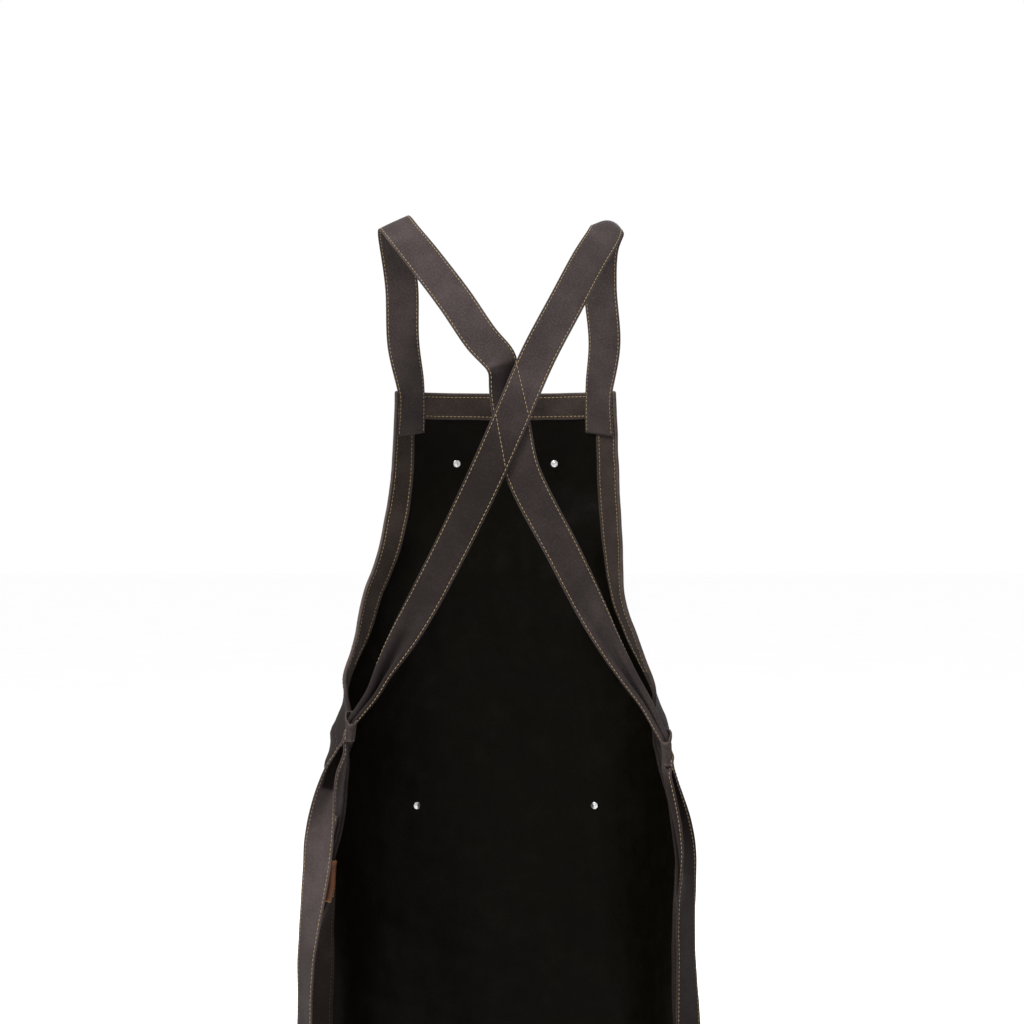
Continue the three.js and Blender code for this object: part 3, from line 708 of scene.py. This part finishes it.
def pocket_rise(pocket, s, z):
    """How far the pocket stands off the panel: a slack mouth, closed at the other three sides."""
    u = np.clip((s - pocket.low) / (pocket.high - pocket.low), 0, 1)
    v = np.clip((pocket.mouth - z) / (pocket.mouth - pocket.base), 0, 1)
    belly = np.sin(math.pi * u) ** 1.2 * np.cos(math.pi / 2 * v) ** 1.1
    slouch = 1.3 * MM * crumple(s, z, 31, 0.03, 0.12)
    slouch = slouch * np.sin(math.pi * u) * np.sin(math.pi * np.clip(v * 1.1, 0, 1))
    return np.maximum(pocket.bulge * belly + slouch, 0)


def pocket_face(pocket, s, z):
    """The outer face's offset, with the mouth's turned hem and the stitched edge's groove."""
    side = np.minimum(s - pocket.low, pocket.high - s)
    sewn = np.minimum(side, z - pocket.base)
    down = pocket.mouth - z
    groove = bell(sewn - 2.2 * MM, 1.1 * MM) + bell(sewn - 8.2 * MM, 1.1 * MM)
    hem = bell(down - 2.4 * MM, 1.1 * MM) + bell(down - MOUTH_HEM + 2 * MM, 1.1 * MM)
    thick = 0.6 * MM * ramp((MOUTH_HEM + 1 * MM - down) / (1.6 * MM))
    thick = thick + 0.5 * MM * ramp((11 * MM - sewn) / (1.6 * MM))
    return GAP + POCKET_CLOTH + pocket_rise(pocket, s, z) + thick - 0.34 * MM * (groove + hem)


def pocket_lines(low, high):
    edge = np.array([0, 0.7, 1.4, 2.2, 3.0, 4.2, 6.4, 7.4, 8.2, 9.0, 10, 11.4, 13]) * MM
    middle = np.arange(low + 17 * MM, high - 16 * MM, 4.2 * MM)
    return np.concatenate([low + edge, middle, (high - edge)[::-1]])


def make_pocket(pocket):
    top = pocket.mouth - np.array([0, 0.8, 1.6, 2.4, 3.2, 4.4, 8, 12, 15.5, 17, 18, 19, 20, 21.2, 23]) * MM
    base = pocket_lines(pocket.base, pocket.base + 60 * MM)[:13]
    middle = np.arange(top[-1] - 4 * MM, base[-1] + 3 * MM, -4.2 * MM)
    z = np.concatenate([top, middle, base[::-1]])
    s = pocket_lines(pocket.low, pocket.high)
    s, z = np.meshgrid(s, z)
    sewn = np.minimum(np.minimum(s - pocket.low, pocket.high - s), z - pocket.base)
    wear_and_painted_light = 0.8 * bell(pocket.mouth - z, 2.2 * MM) + 0.75 * bell(sewn, 1.3 * MM)
    wear_and_painted_light += 0.3 * bell(pocket.mouth - z - MOUTH_HEM, 2 * MM)
    return riding(cloth_layer(pocket.name + "_cloth", s, z, pocket_face(pocket, s, z),
                              GAP + pocket_rise(pocket, s, z), CANVAS_LOOK, wear_and_painted_light=wear_and_painted_light, steps=4),
                  pocket.name)


def pocket_runs(pocket):
    """Two rows down the sides and round the base, and two across the mouth's hem."""
    low, high, mouth, base = pocket[:4]
    lines = []
    for inset in (2.2 * MM, 8.2 * MM):
        down = np.linspace(mouth - 1 * MM, base + inset, 260)
        across = np.linspace(low + inset, high - inset, 260)
        lines += [(low + inset, down), (high - inset, down), (across, base + inset)]
    across = np.linspace(low + 2.2 * MM, high - 2.2 * MM, 260)
    return lines + [(across, mouth - drop) for drop in (2.4 * MM, MOUTH_HEM - 2 * MM)]


def make_pocket_thread():
    lines = [(pocket, *line) for pocket in (CHEST, *HIPS) for line in pocket_runs(pocket)]
    z = np.linspace(CHEST.mouth - 1 * MM, CHEST.base + 2 * MM, 200)
    lines += [(CHEST, s, z) for s in (19 * MM, 22 * MM)]
    runs = []
    for pocket, s, z in lines:
        s, z = np.broadcast_arrays(s, z)
        runs.append(on_wrap(s, z, pocket_face(pocket, s, z)))
    return riding(thread_piece("pocket_stitching", runs))


def lathe(name, profile, centre, axis):
    """A turned rivet: profile is (radius, height) from the axis round to the axis."""
    segments = 40
    axis = Vector(axis).normalized()
    side = axis.orthogonal().normalized()
    angle = TURN * np.arange(segments)[:, None] / segments
    spokes = np.cos(angle) * np.array(side) + np.sin(angle) * np.array(axis.cross(side))
    middles = centre + profile[:, 1:] * np.array(axis)
    rings = [middle + radius * spokes for middle, radius in zip(middles, profile[:, 0])]
    points = np.vstack([middles[:1], *rings[1:-1], middles[-1:]])
    end, start = len(points) - 1, len(points) - 1 - segments
    faces = [(0, 1 + (k + 1) % segments, 1 + k) for k in range(segments)]
    faces += grid_quads(len(rings) - 2, segments, 1, flip=True, wrap_columns=True)
    faces += [(start + k, start + (k + 1) % segments, end) for k in range(segments)]
    uv = np.stack([np.linspace(0, 0.01, len(points)), points[:, 2]], 1)
    return new_piece(name, points, faces, uv, [RIVET_LOOK])


def make_rivets():
    """Domed caps outside and flat burrs inside, pressed a little into the cloth."""
    low, high = HIPS[0].low + 8 * MM, HIPS[0].high - 8 * MM
    dome = [(4.6 * math.cos(a), 0.35 + 1.7 * math.sin(a)) for a in np.linspace(0, math.pi / 2, 9)[:-1]]
    cap = np.array([(1.4, 0), (4.3, 0), (4.6, 0.2), *dome, (0, 2.05)]) * MM
    burr = np.array([(0, -1.0), (1.1, -1.0), (1.5, -0.8), (1.8, -0.55), (3.6, -0.55), (3.9, -0.35), (3.9, 0),
                     (1.4, 0.1)]) * MM
    for side, sign in (("left", 1), ("right", -1)):
        hip = HIPS[sign < 0]
        for part, s, pocket, back in (("chest", 54 * MM, CHEST, LINING_BACK),
                                      ("hip_front", low, hip, LINING_BACK),
                                      ("hip_side", high, hip, FACING_BACK)):
            s, z = sign * s, pocket.mouth - 11 * MM
            seat = float(pocket_face(pocket, np.array(s), np.array(z))) - 0.15 * MM
            profile = np.vstack([burr + (0, back - 0.25 * MM), cap + (0, seat)])
            node = f"rivet_{part}_{side}"
            riding(lathe(node + "_metal", profile, *wrap.at(s, z)), node)


# ---- Straps and ties ----

LEFT_STRAP = [
    (108, -55, -120, 0.3, -0.95, 0.2), (109, -43, -62, 0.1, -0.9, 0.4), (114, -24, -19, 0.2, -0.6, 0.8),
    (116, -9, -3, 0.5, 0, 1), (113, 9, -3, 0.5, 0, 1), (102, 28, -18, 0.35, 0.5, 0.8),
    (80, 48, -47, 0.25, 0.8, 0.5), (49, 76, -90, 0.2, 0.9, 0.35), (23, 91, -129, 0.1, 0.95, 0.3),
    (5, 95, -150, -0.2, 0.95, 0.2), (1.5, 95.5, -161, -0.6, 0.8, -0.1), (-0.5, 96, -182, -0.5, 0.87, 0),
    (-7, 97, -209, -0.05, 1, 0), (-17, 96.5, -258, 0, 1, 0), (-58, 90, -340, -0.3, 0.95, 0),
    (-99, 80, -421, -0.5, 0.85, 0), (-124, 69, -464, -0.5, 0.86, 0), (-139, 63, -488, -0.5, 0.86, 0),
    (-151, 57.5, -511, -0.4, 0.9, 0), (-160.5, 54, -529, -0.25, 0.97, 0), (-163, 53.5, -543, -0.3, 0.95, 0)]
RIGHT_TIE = [
    (-163, 53.5, -554, -0.4, 0.92, 0), (-166, 53.5, -569, -0.5, 0.87, 0), (-169.5, 53, -583, -0.58, 0.81, 0),
    (-176, 52, -614, -0.76, 0.65, 0), (-179.5, 51.5, -640, -0.87, 0.5, 0), (-181, 52, -680, -0.81, 0.58, 0),
    (-181.5, 53, -745, -0.8, 0.6, 0), (-183.5, 55, -815, -0.68, 0.73, 0), (-187, 56, -960, -0.66, 0.75, 0),
    (-188, 55, -1110, -0.6, 0.8, 0), (-191, 55, -1245, -0.6, 0.8, 0)]
RIGHT_STRAP = [
    (-105, -55, -120, -0.3, -0.95, 0.2), (-100, -43, -62, -0.1, -0.9, 0.4), (-101, -24, -23, -0.1, -0.6, 0.8),
    (-108, -8, -5, -0.2, 0, 1), (-106, 7, -4, -0.2, 0, 1), (-100, 29, -19, -0.25, 0.55, 0.8),
    (-84.5, 48, -46, -0.25, 0.8, 0.5), (-62, 77, -90, -0.25, 0.9, 0.35), (-32, 97, -148, -0.05, 1, 0.05),
    (-6, 100.5, -208, 0, 1, 0), (16, 100, -258, 0.02, 1, 0), (53, 94, -335, 0.3, 0.95, 0),
    (88, 83, -402, 0.45, 0.88, 0), (119, 71, -455, 0.5, 0.86, 0), (131, 65, -479, 0.5, 0.86, 0),
    (144, 58.5, -497, 0.4, 0.9, 0), (153, 54, -509, 0.2, 0.98, 0), (156, 53.5, -523, 0.25, 0.97, 0)]
LEFT_TIE = [
    (163, 53.5, -541, 0.3, 0.95, 0), (171, 53.5, -557, 0.3, 0.95, 0), (176, 53, -575, 0.32, 0.95, 0),
    (181, 52, -603, 0.38, 0.92, 0), (185.7, 51.5, -634, 0.46, 0.886, 0), (190.2, 52, -672, 0.635, 0.77, 0),
    (197, 53, -729, 0.79, 0.61, 0), (199.7, 54, -786, 0.86, 0.51, 0), (202, 54, -860, 0.88, 0.48, 0),
    (205, 54, -960, 0.88, 0.48, 0), (208, 54, -1110, 0.85, 0.52, 0), (210, 54, -1245, 0.8, 0.6, 0)]


def strap_route(side):
    """Stations of one strap and the opposite tie: place in mm, and the way its face looks.

    The left shoulder's strap (side 1) crosses underneath and ends as the right tie.
    """
    starts = []
    for z in (-214, -172):
        point, normal = wrap.at(side * 110 * MM, z * MM, FACING_BACK - 1.9 * MM)
        starts.append((*(point / MM), *normal))
    return np.array(starts + (LEFT_STRAP + RIGHT_TIE if side > 0 else RIGHT_STRAP + LEFT_TIE), float)


def catmull(controls):
    """Centripetal Catmull-Rom line through the controls, and the control number at each point."""
    p = np.vstack([2 * controls[0] - controls[1], controls, 2 * controls[-1] - controls[-2]])
    step = np.diff(p, axis=0)[:, None]
    gap = np.maximum(np.linalg.norm(step, axis=2, keepdims=True) ** 0.5, 1e-6)
    (last, ahead, following), (before, here, after) = ((v[:-2], v[1:-1], v[2:]) for v in (step, gap))
    start = (last / before - (last + ahead) / (before + here) + ahead / here) * here
    stop = (ahead / here - (ahead + following) / (here + after) + following / after) * here
    t = np.arange(24)[:, None] / 24
    line = (p[1:-2, None] + start * t + (3 * ahead - 2 * start - stop) * t ** 2
            + (start + stop - 2 * ahead) * t ** 3)
    number = np.arange(len(line))[:, None] + t[:, 0]
    return np.vstack([line.reshape(-1, 3), controls[-1:]]), np.append(number, len(controls) - 1)


def smoothed(values):
    kernel = np.hanning(11)[1:-1]
    padded = np.pad(values, ((4, 4), (0, 0)), mode="edge")
    return np.stack([np.convolve(column, kernel / kernel.sum(), mode="valid") for column in padded.T], 1)


class Ribbon:
    """A strap: a line with a facing direction, and how its width folds at each place."""

    STEP = 2 * MM
    EDGE = [13.4, 14.4, 15.2, 15.9, 16.6, 17.2, 17.5]
    ACROSS = np.array([-a for a in EDGE[::-1]] + list(np.linspace(-12, 12, 17)) + EDGE) * MM

    def __init__(self, side):
        self.side = side
        route = strap_route(side)
        line, number = catmull(route[:, :3] * MM)
        facing_way = read_at(number, np.arange(len(route)), route[:, 3:])
        length = distances(line)
        self.length = length[-1]
        self.run = np.linspace(0, self.length, int(self.length / self.STEP))
        self.line = read_at(self.run, length, line)
        ahead = unit(np.gradient(smoothed(self.line), axis=0))
        self.out = square_to(smoothed(read_at(self.run, length, facing_way)), ahead)
        self.wide = np.cross(self.out, ahead)
        self.height = self.line[:, 2]
        late = slice(len(self.run) // 3, None)
        loop_height = -0.535 if side > 0 else -0.513
        self.loop_run = float(np.interp(-loop_height, -self.height[late], self.run[late]))
        self.mid, self.way = self.cross_sections()

    def cross_sections(self):
        """The middle of the cloth at each place and width, and the direction its face looks in."""
        a = self.ACROSS[None, :]
        half = STRAP_WIDTH / 2
        below = (self.run - self.loop_run)[:, None]
        reach = 0.22 if self.side > 0 else 0.16
        gathered = ramp(1 + below / reach) ** 0.9 * ramp(1 - below / 0.03)
        pleats = np.radians(118) * gathered * np.sin(1.5 * math.pi * a / half + 0.5 * self.side)
        open_at = 0.165 if self.side > 0 else 0.15
        trough = ramp((below + 0.005) / 0.02) * ramp((open_at - below) / (open_at - 0.01)) ** 0.8
        crown = np.radians(5) * np.sin(TURN * self.run / 0.31 + self.side)[:, None]
        on_shoulder = (bell(self.line[:, 1], 0.02) * (self.height > -0.05))[:, None]
        arch = (self.side < 0) * np.radians(42) * on_shoulder
        heading = pleats + (np.radians(125) * trough + crown - arch) * np.sin(math.pi * a / (2 * half))
        spans = np.diff(self.ACROSS)[None, :]
        middle = (heading[:, 1:] + heading[:, :-1]) / 2
        nil = np.zeros((len(self.run), 1))
        x = np.hstack([nil, np.cumsum(np.cos(middle) * spans, 1)])
        y = np.hstack([nil, np.cumsum(np.sin(middle) * spans, 1)])
        weight = np.gradient(self.ACROSS)[None, :] / STRAP_WIDTH
        x, y = (across - (across * weight).sum(1, keepdims=True) for across in (x, y))
        run = self.run[:, None] + 0 * a
        loose = ramp(below / 0.05) + 0.35
        ripple = 0.5 * MM * crumple(run, a, 41 + self.side, 0.03, 0.16) * loose
        wide, out, y = self.wide[:, None], self.out[:, None], y + ripple
        way = -np.sin(heading)[..., None] * wide + np.cos(heading)[..., None] * out
        return self.line[:, None] + wide * x[..., None] + out * y[..., None], way

    def thickness(self):
        """Half thickness across: a rounded edge, a bead, and the groove of the edge seam."""
        edge = STRAP_WIDTH / 2 - np.abs(self.ACROSS)
        return (STRAP_THICK / 2 * np.sqrt(np.clip(1 - (1 - edge / (0.9 * MM)).clip(0) ** 2, 0.02, 1))
                - 0.26 * MM * bell(edge - SEAM_IN, 1.0 * MM))[None, :]

    def surface(self, side):
        """Points of the outer (1) or under (-1) face."""
        return self.mid + side * self.way * self.thickness()[..., None]

    def seam(self, inset, side):
        """Stitch places along one edge; a negative inset is the other edge."""
        at = math.copysign(STRAP_WIDTH / 2 - abs(inset), inset)
        keep = self.run >= 2 * MM
        pick = lambda values: np.array([read_at([at], self.ACROSS, row)[0] for row in values[keep]])
        return along_line(pick(self.surface(side)), side * unit(pick(self.way)))

    def end_hem(self):
        """Two rows of stitches across the tie's turned end, on both faces."""
        inner = slice(4, len(self.ACROSS) - 4)
        rows = [int(np.argmin(np.abs(self.run - (self.length - back)))) for back in (8 * MM, 14 * MM)]
        return [along_line(self.surface(face)[i, inner], face * self.way[i, inner])
                for i in rows for face in (1, -1)]


def make_strap(ribbon, name, nodes):
    top, under = ribbon.surface(1), ribbon.surface(-1)
    around = np.concatenate([top, under[:, ::-1]], 1)
    count = around.shape[1]
    quads = grid_quads(len(ribbon.run), count, wrap_columns=True)
    quads.append(list(range(count)))
    quads.append([(len(ribbon.run) - 1) * count + k for k in range(count)][::-1])
    uv = stacked(np.concatenate([ribbon.ACROSS, ribbon.ACROSS[::-1] + 0.05]), ribbon.run[:, None])
    a = np.concatenate([ribbon.ACROSS, ribbon.ACROSS[::-1]])
    z, behind = ribbon.height[:, None], ribbon.line[:, 1:2] > 0.05
    wear_and_painted_light = 0.1 * bell(ribbon.run - ribbon.loop_run, 0.03)[:, None]
    wear_and_painted_light = wear_and_painted_light + 0.35 * bell(STRAP_WIDTH / 2 - np.abs(a), 1.0 * MM)
    # Right strap and left tie: a painted highlight where the tie faces the light, painted shade lower on the
    # tie, a painted shadow in its trough under the loop, and painted shade on the strap's lower back.
    if ribbon.side < 0:
        wear_and_painted_light = wear_and_painted_light + 0.45 * zone(z, -0.59, 0.03, -0.75, 0.06) - 0.28 * zone(z, -0.70, 0.06, -1.0, 0.13) \
            - 1.6 * zone(z, -0.527, 0.008, -0.579, 0.006) * ramp((12 * MM - np.abs(a)) / (4 * MM)) \
            - 0.6 * behind * zone(z, -0.17, 0.09, -0.53, 0.03)
    # Left strap and right tie: painted shade over the right tie, a painted shadow under the strap's crease,
    # and painted shade down its lower back.
    else:
        wear_and_painted_light = wear_and_painted_light - 0.60 * zone(z, -0.545, 0.03, -1.0, 0.13) \
            - 0.52 * behind * zone(z, -0.153, 0.004, -0.205, 0.045) \
            - 0.28 * behind * zone(z, -0.15, 0.09, -0.44, 0.09)
    wear_and_painted_light = np.clip(wear_and_painted_light, -1, 1)
    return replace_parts(new_piece(name, around, quads, uv, [STRAP_LOOK], wear_and_painted_light), *nodes)


def bend_at_loop(piece):
    """Bakes the piece's placement into its mesh."""
    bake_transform(piece)


def make_straps():
    pieces = {}
    for side, other, sign in (("left", "right", 1), ("right", "left", -1)):
        ribbon, tie = Ribbon(sign), "tie_" + other
        strap = make_strap(ribbon, f"strap_{side}_cloth", ["strap_" + side, tie])
        runs = [ribbon.seam(inset, face) for inset in (SEAM_IN, -SEAM_IN) for face in (1, -1)]
        thread = thread_piece(f"strap_{side}_stitching", runs + ribbon.end_hem())
        bend_at_loop(strap)
        bend_at_loop(thread)
        pieces[side] = (strap, thread, ribbon)
    crossing_stitches(pieces["right"][0].data)
    return pieces


def crossing_stitches(over):
    """The two seams across the upper strap, seen from behind, that hold it to the lower one."""
    tree = BVHTree.FromPolygons([v.co for v in over.vertices], [p.vertices for p in over.polygons])
    top, left, right, base = np.array([(-9.5, -146), (8.8, -203), (-23.5, -206), (-0.8, -256)]) * MM
    runs = []
    for start, stop in ((top, right), (left, base)):
        spots = [start + (stop - start) * t for t in np.linspace(0, 1, 80)]
        hits = [tree.ray_cast(Vector((x, 0.3, z)), Vector((0, -1, 0))) for x, z in spots]
        points, normals = (np.array([tuple(hit[k]) for hit in hits if hit[0] is not None]) for k in (0, 1))
        runs.append(along_line(points, normals))
    riding(thread_piece("crossing_stitching", runs))


# ---- Waist loops, leather tab ----

def make_loop(side, sign):
    """A soft sleeve round the gathered strap: a flared mouth that dips behind, and a pinched waist."""
    low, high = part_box("waist_loop_" + side)
    centre = (low + high) / 2
    top, base = (-500 * MM, -527 * MM) if sign > 0 else (-518 * MM, -551 * MM)
    turns, levels = 72, 34
    angle = TURN * np.arange(turns)[None, :] / turns
    t = np.linspace(0, 1, levels)[:, None]
    behind = np.clip(np.sin(angle), 0, 1)
    wide = 4.9 * MM + 1.9 * MM * ramp((t - 0.6) / 0.4) - 0.4 * MM * ramp((0.3 - t) / 0.3)
    deep = 7.6 * MM + 1.8 * MM * ramp((t - 0.6) / 0.4)
    gathers = 0.55 * MM * np.sin(7 * angle + 1.3 * sign + 2.5 * t)
    gathers = gathers * (0.35 + 0.65 * ramp(np.abs(t - 0.5) / 0.5))
    gathers = gathers + 0.4 * MM * crumple(angle * 9 * MM, t * 0.03, 60 + sign, 0.007, 0.026)
    dip = 11 * MM * behind ** 1.6 * ramp((t - 0.3) / 0.7)
    lean = (-2.8 - 2.5 * t if sign > 0 else -5.0 + 3.5 * t) * MM
    round_x, round_y = (np.sign(way) * np.abs(way) ** (2 / 2.7) for way in (np.cos(angle), np.sin(angle)))

    def wall(inwards):
        x = centre.x + lean + (wide + gathers - inwards) * round_x
        y = centre.y + (deep + gathers - inwards) * round_y
        return stacked(x, y, base + (top - base) * t - dip)

    outer, inner = wall(0.0), wall(1.3 * MM)[::-1]
    rolls = []
    for upper, lower, way in ((outer[-1], inner[0], 1), (inner[-1], outer[0], -1)):
        for k in range(1, 6):
            a = math.pi * k / 6
            swell = np.array([0, 0, way * 1.15 * MM * math.sin(a)])
            middle = (upper + lower) / 2 + (upper - lower) / 2 * math.cos(a) * 1.25
            rolls.append((middle + swell)[None])
    points = np.concatenate([outer, *rolls[:5], inner, *rolls[5:]])
    count = len(points)
    quads = grid_quads(count, turns, wrap_columns=True, flip=True)
    last, k = (count - 1) * turns, np.arange(turns)
    quads += np.stack([last + k, last + (k + 1) % turns, (k + 1) % turns, k], 1).tolist()
    uv = stacked(angle * 9 * MM, np.arange(count)[:, None] * 0.8 * MM)
    worn_and_painted_light = np.zeros((count, turns))
    worn_and_painted_light[levels - 2:levels + 6] = 0.8
    worn_and_painted_light[:2] = worn_and_painted_light[-4:] = 0.6
    return riding(new_piece(f"waist_loop_{side}_cloth", points, quads, uv, [CANVAS_LOOK], worn_and_painted_light),
                  "waist_loop_" + side)


def make_tab():
    """Leather bent round the side edge: smooth grain outside, pale cut edges."""
    top, base = -650 * MM, -692 * MM
    leather = 1.8 * MM
    face, back = GAP + leather, FACING_BACK - GAP - leather
    middle, reach = (face + back) / 2, (face - back) / 2
    bend, sit = 0.6 * MM, 0.25 * MM
    turn = np.linspace(math.pi / 2, -math.pi / 2, 19)
    leg = np.linspace(-7, 0, 7) * MM
    level = np.concatenate([np.ones(7), np.sin(turn), -np.ones(7)])

    ends = np.array([0, 0.3, 0.9]) * MM
    z = np.concatenate([top - ends, np.linspace(top - 2.4 * MM, base + 2.4 * MM, 15), (base + ends)[::-1]])
    inset = np.concatenate([[0.55, 0.22, 0], np.zeros(15), [0, 0.22, 0.55]]) * MM

    def bent(radius, height):
        """One face of the leather: along the cloth, round its cut edge and back."""
        out = np.concatenate([leg, bend + radius * np.cos(turn), leg[::-1]])
        on_cloth, _ = wrap.at(SKIRT_HALF + np.minimum(out, 0), height, middle + radius * level)
        edge, _ = wrap.at(SKIRT_HALF - np.array([0, 2]) * MM, height)
        return on_cloth + unit(edge[0] - edge[1]) * np.maximum(out, 0)[:, None]

    def wavy(height):
        """The tab's slight unevenness: a shift along Y."""
        return stacked(0 * height, 0.35 * MM * np.sin((height - base) / 0.012), 0 * height)

    rings = []
    for height, pull in zip(z, inset):
        outside, inside = bent(reach - pull + sit, height), bent(reach - leather + pull * 0.6, height)
        rings.append(np.concatenate([outside, inside[::-1]]) + wavy(height))
    points = np.stack(rings)
    count, half = points.shape[1], points.shape[1] // 2
    quads = grid_quads(len(z), count, wrap_columns=True)
    cut = np.zeros((len(z) - 1, count), int)
    cut[[0, -1]] = cut[:, [half - 1, count - 1]] = 1
    end_cap = np.array([(k, k + 1, count - 2 - k, count - 1 - k) for k in range(half - 1)])
    quads += end_cap.tolist() + ((len(z) - 1) * count + end_cap[:, ::-1]).tolist()
    shade = cut.ravel().tolist() + [1] * 2 * (half - 1)
    run = np.concatenate([np.arange(half), np.arange(half)[::-1]]) * 0.7 * MM
    uv = stacked(run, z[:, None])
    near = np.minimum(top - z, z - base)
    # Painted highlight: the leather face is paler along its top and bottom rims.
    wear_and_painted_light = np.broadcast_to(1.4 * bell(near, 1.7 * MM)[:, None], uv.shape[:2])
    riding(new_piece("leather_side_tab", points, quads, uv, [LEATHER_LOOK, CUT_LEATHER_LOOK],
                     wear_and_painted_light, shade), "leather_tab")
    heights = np.linspace(top - 2.2 * MM, base + 2.2 * MM, 60)
    runs = []
    for offset, way in ((face + sit, 1), (back - sit, -1)):
        spot, normal = wrap.at(SKIRT_HALF - 4.2 * MM, heights, offset)
        runs.append(along_line(spot + wavy(heights), way * normal, 3.6 * MM))
    riding(thread_piece("leather_tab_stitching", runs, 2.6 * MM))


def box_stitches(sign):
    """The strap's anchor on the bib: a square of stitches with a cross in it."""
    s0, s1, z0, z1 = 95 * MM, 125 * MM, BIB_TOP - 4 * MM, BIB_TOP - 38 * MM
    a, b, c, d = (s0, z0), (s1, z0), (s1, z1), (s0, z1)
    runs = []
    for start, stop in ((a, b), (b, c), (c, d), (d, a), (a, c), (b, d)):
        s, z = (np.linspace(*ends, 60) for ends in zip(start, stop))
        runs.append(on_wrap(sign * s, z, 0 * s))
    return runs


# ---- Camera, light and floor ----

def make_camera():
    """Level, straight behind the apron, at the height of the waist."""
    data = bpy.data.cameras.new("camera")
    data.sensor_width = 36
    half_view = math.radians(15.9)
    data.lens = data.sensor_width / 2 / math.tan(half_view)
    bpy.context.scene.camera = camera = add_object("camera", data)
    camera.location = (-0.007, 1.85, -0.299)
    camera.rotation_euler = (math.radians(90), 0, math.radians(180))


def area_light(name, place, target, size, power):
    data = bpy.data.lights.new(name, "AREA")
    data.shape, data.size, data.energy = "DISK", size, power
    light = add_object(name, data)
    light.location = place
    light.rotation_euler = (Vector(target) - Vector(place)).to_track_quat("-Z", "Y").to_euler()


def make_studio():
    world = bpy.data.worlds.new("studio")
    world.use_nodes = True
    sky = world.node_tree.nodes["Background"].inputs
    sky["Color"].default_value, sky["Strength"].default_value = (1, 1, 1, 1), 1.0
    bpy.context.scene.world = world
    bpy.context.scene.view_settings.view_transform = "Standard"
    area_light("key_above_back", (1.25, 1.15, 1.75), (0, 0, -0.15), 0.8, 118)
    area_light("fill_front", (-0.9, -2.4, 1.3), (0, 0, -0.4), 1.8, 80)
    mesh = bpy.data.meshes.new("floor")
    level, reach = CAD_BOX[0].z - 0.15, 30
    corners = ((-reach, -reach), (reach, -reach), (reach, reach), (-reach, reach))
    mesh.from_pydata([(x, y, level) for x, y in corners], [], [(0, 1, 2, 3)])
    n = Nodes("pale_floor")
    cloudy = n.noise(n.node("TexCoord").outputs["Object"], 3)
    mesh.materials.append(n.finish(Base_Color=n.mix(cloudy, (0.97, 0.97, 0.97, 1), (1, 1, 1, 1)),
                                   Roughness=0.9, Specular_IOR_Level=0.1))
    add_object("floor", mesh)


# ---- Assembly ----

make_camera()
make_studio()

canvas_panel, black_lining = make_panel()
facings = make_facings()
panel_threads = make_panel_thread()
pockets = [make_pocket(pocket) for pocket in (CHEST, *HIPS)]
make_pocket_thread()
make_rivets()
straps = make_straps()
riding(thread_piece("strap_anchor_stitching", box_stitches(1) + box_stitches(-1)))
loops = {side: make_loop(side, sign) for side, sign in (("left", 1), ("right", -1))}
make_tab()
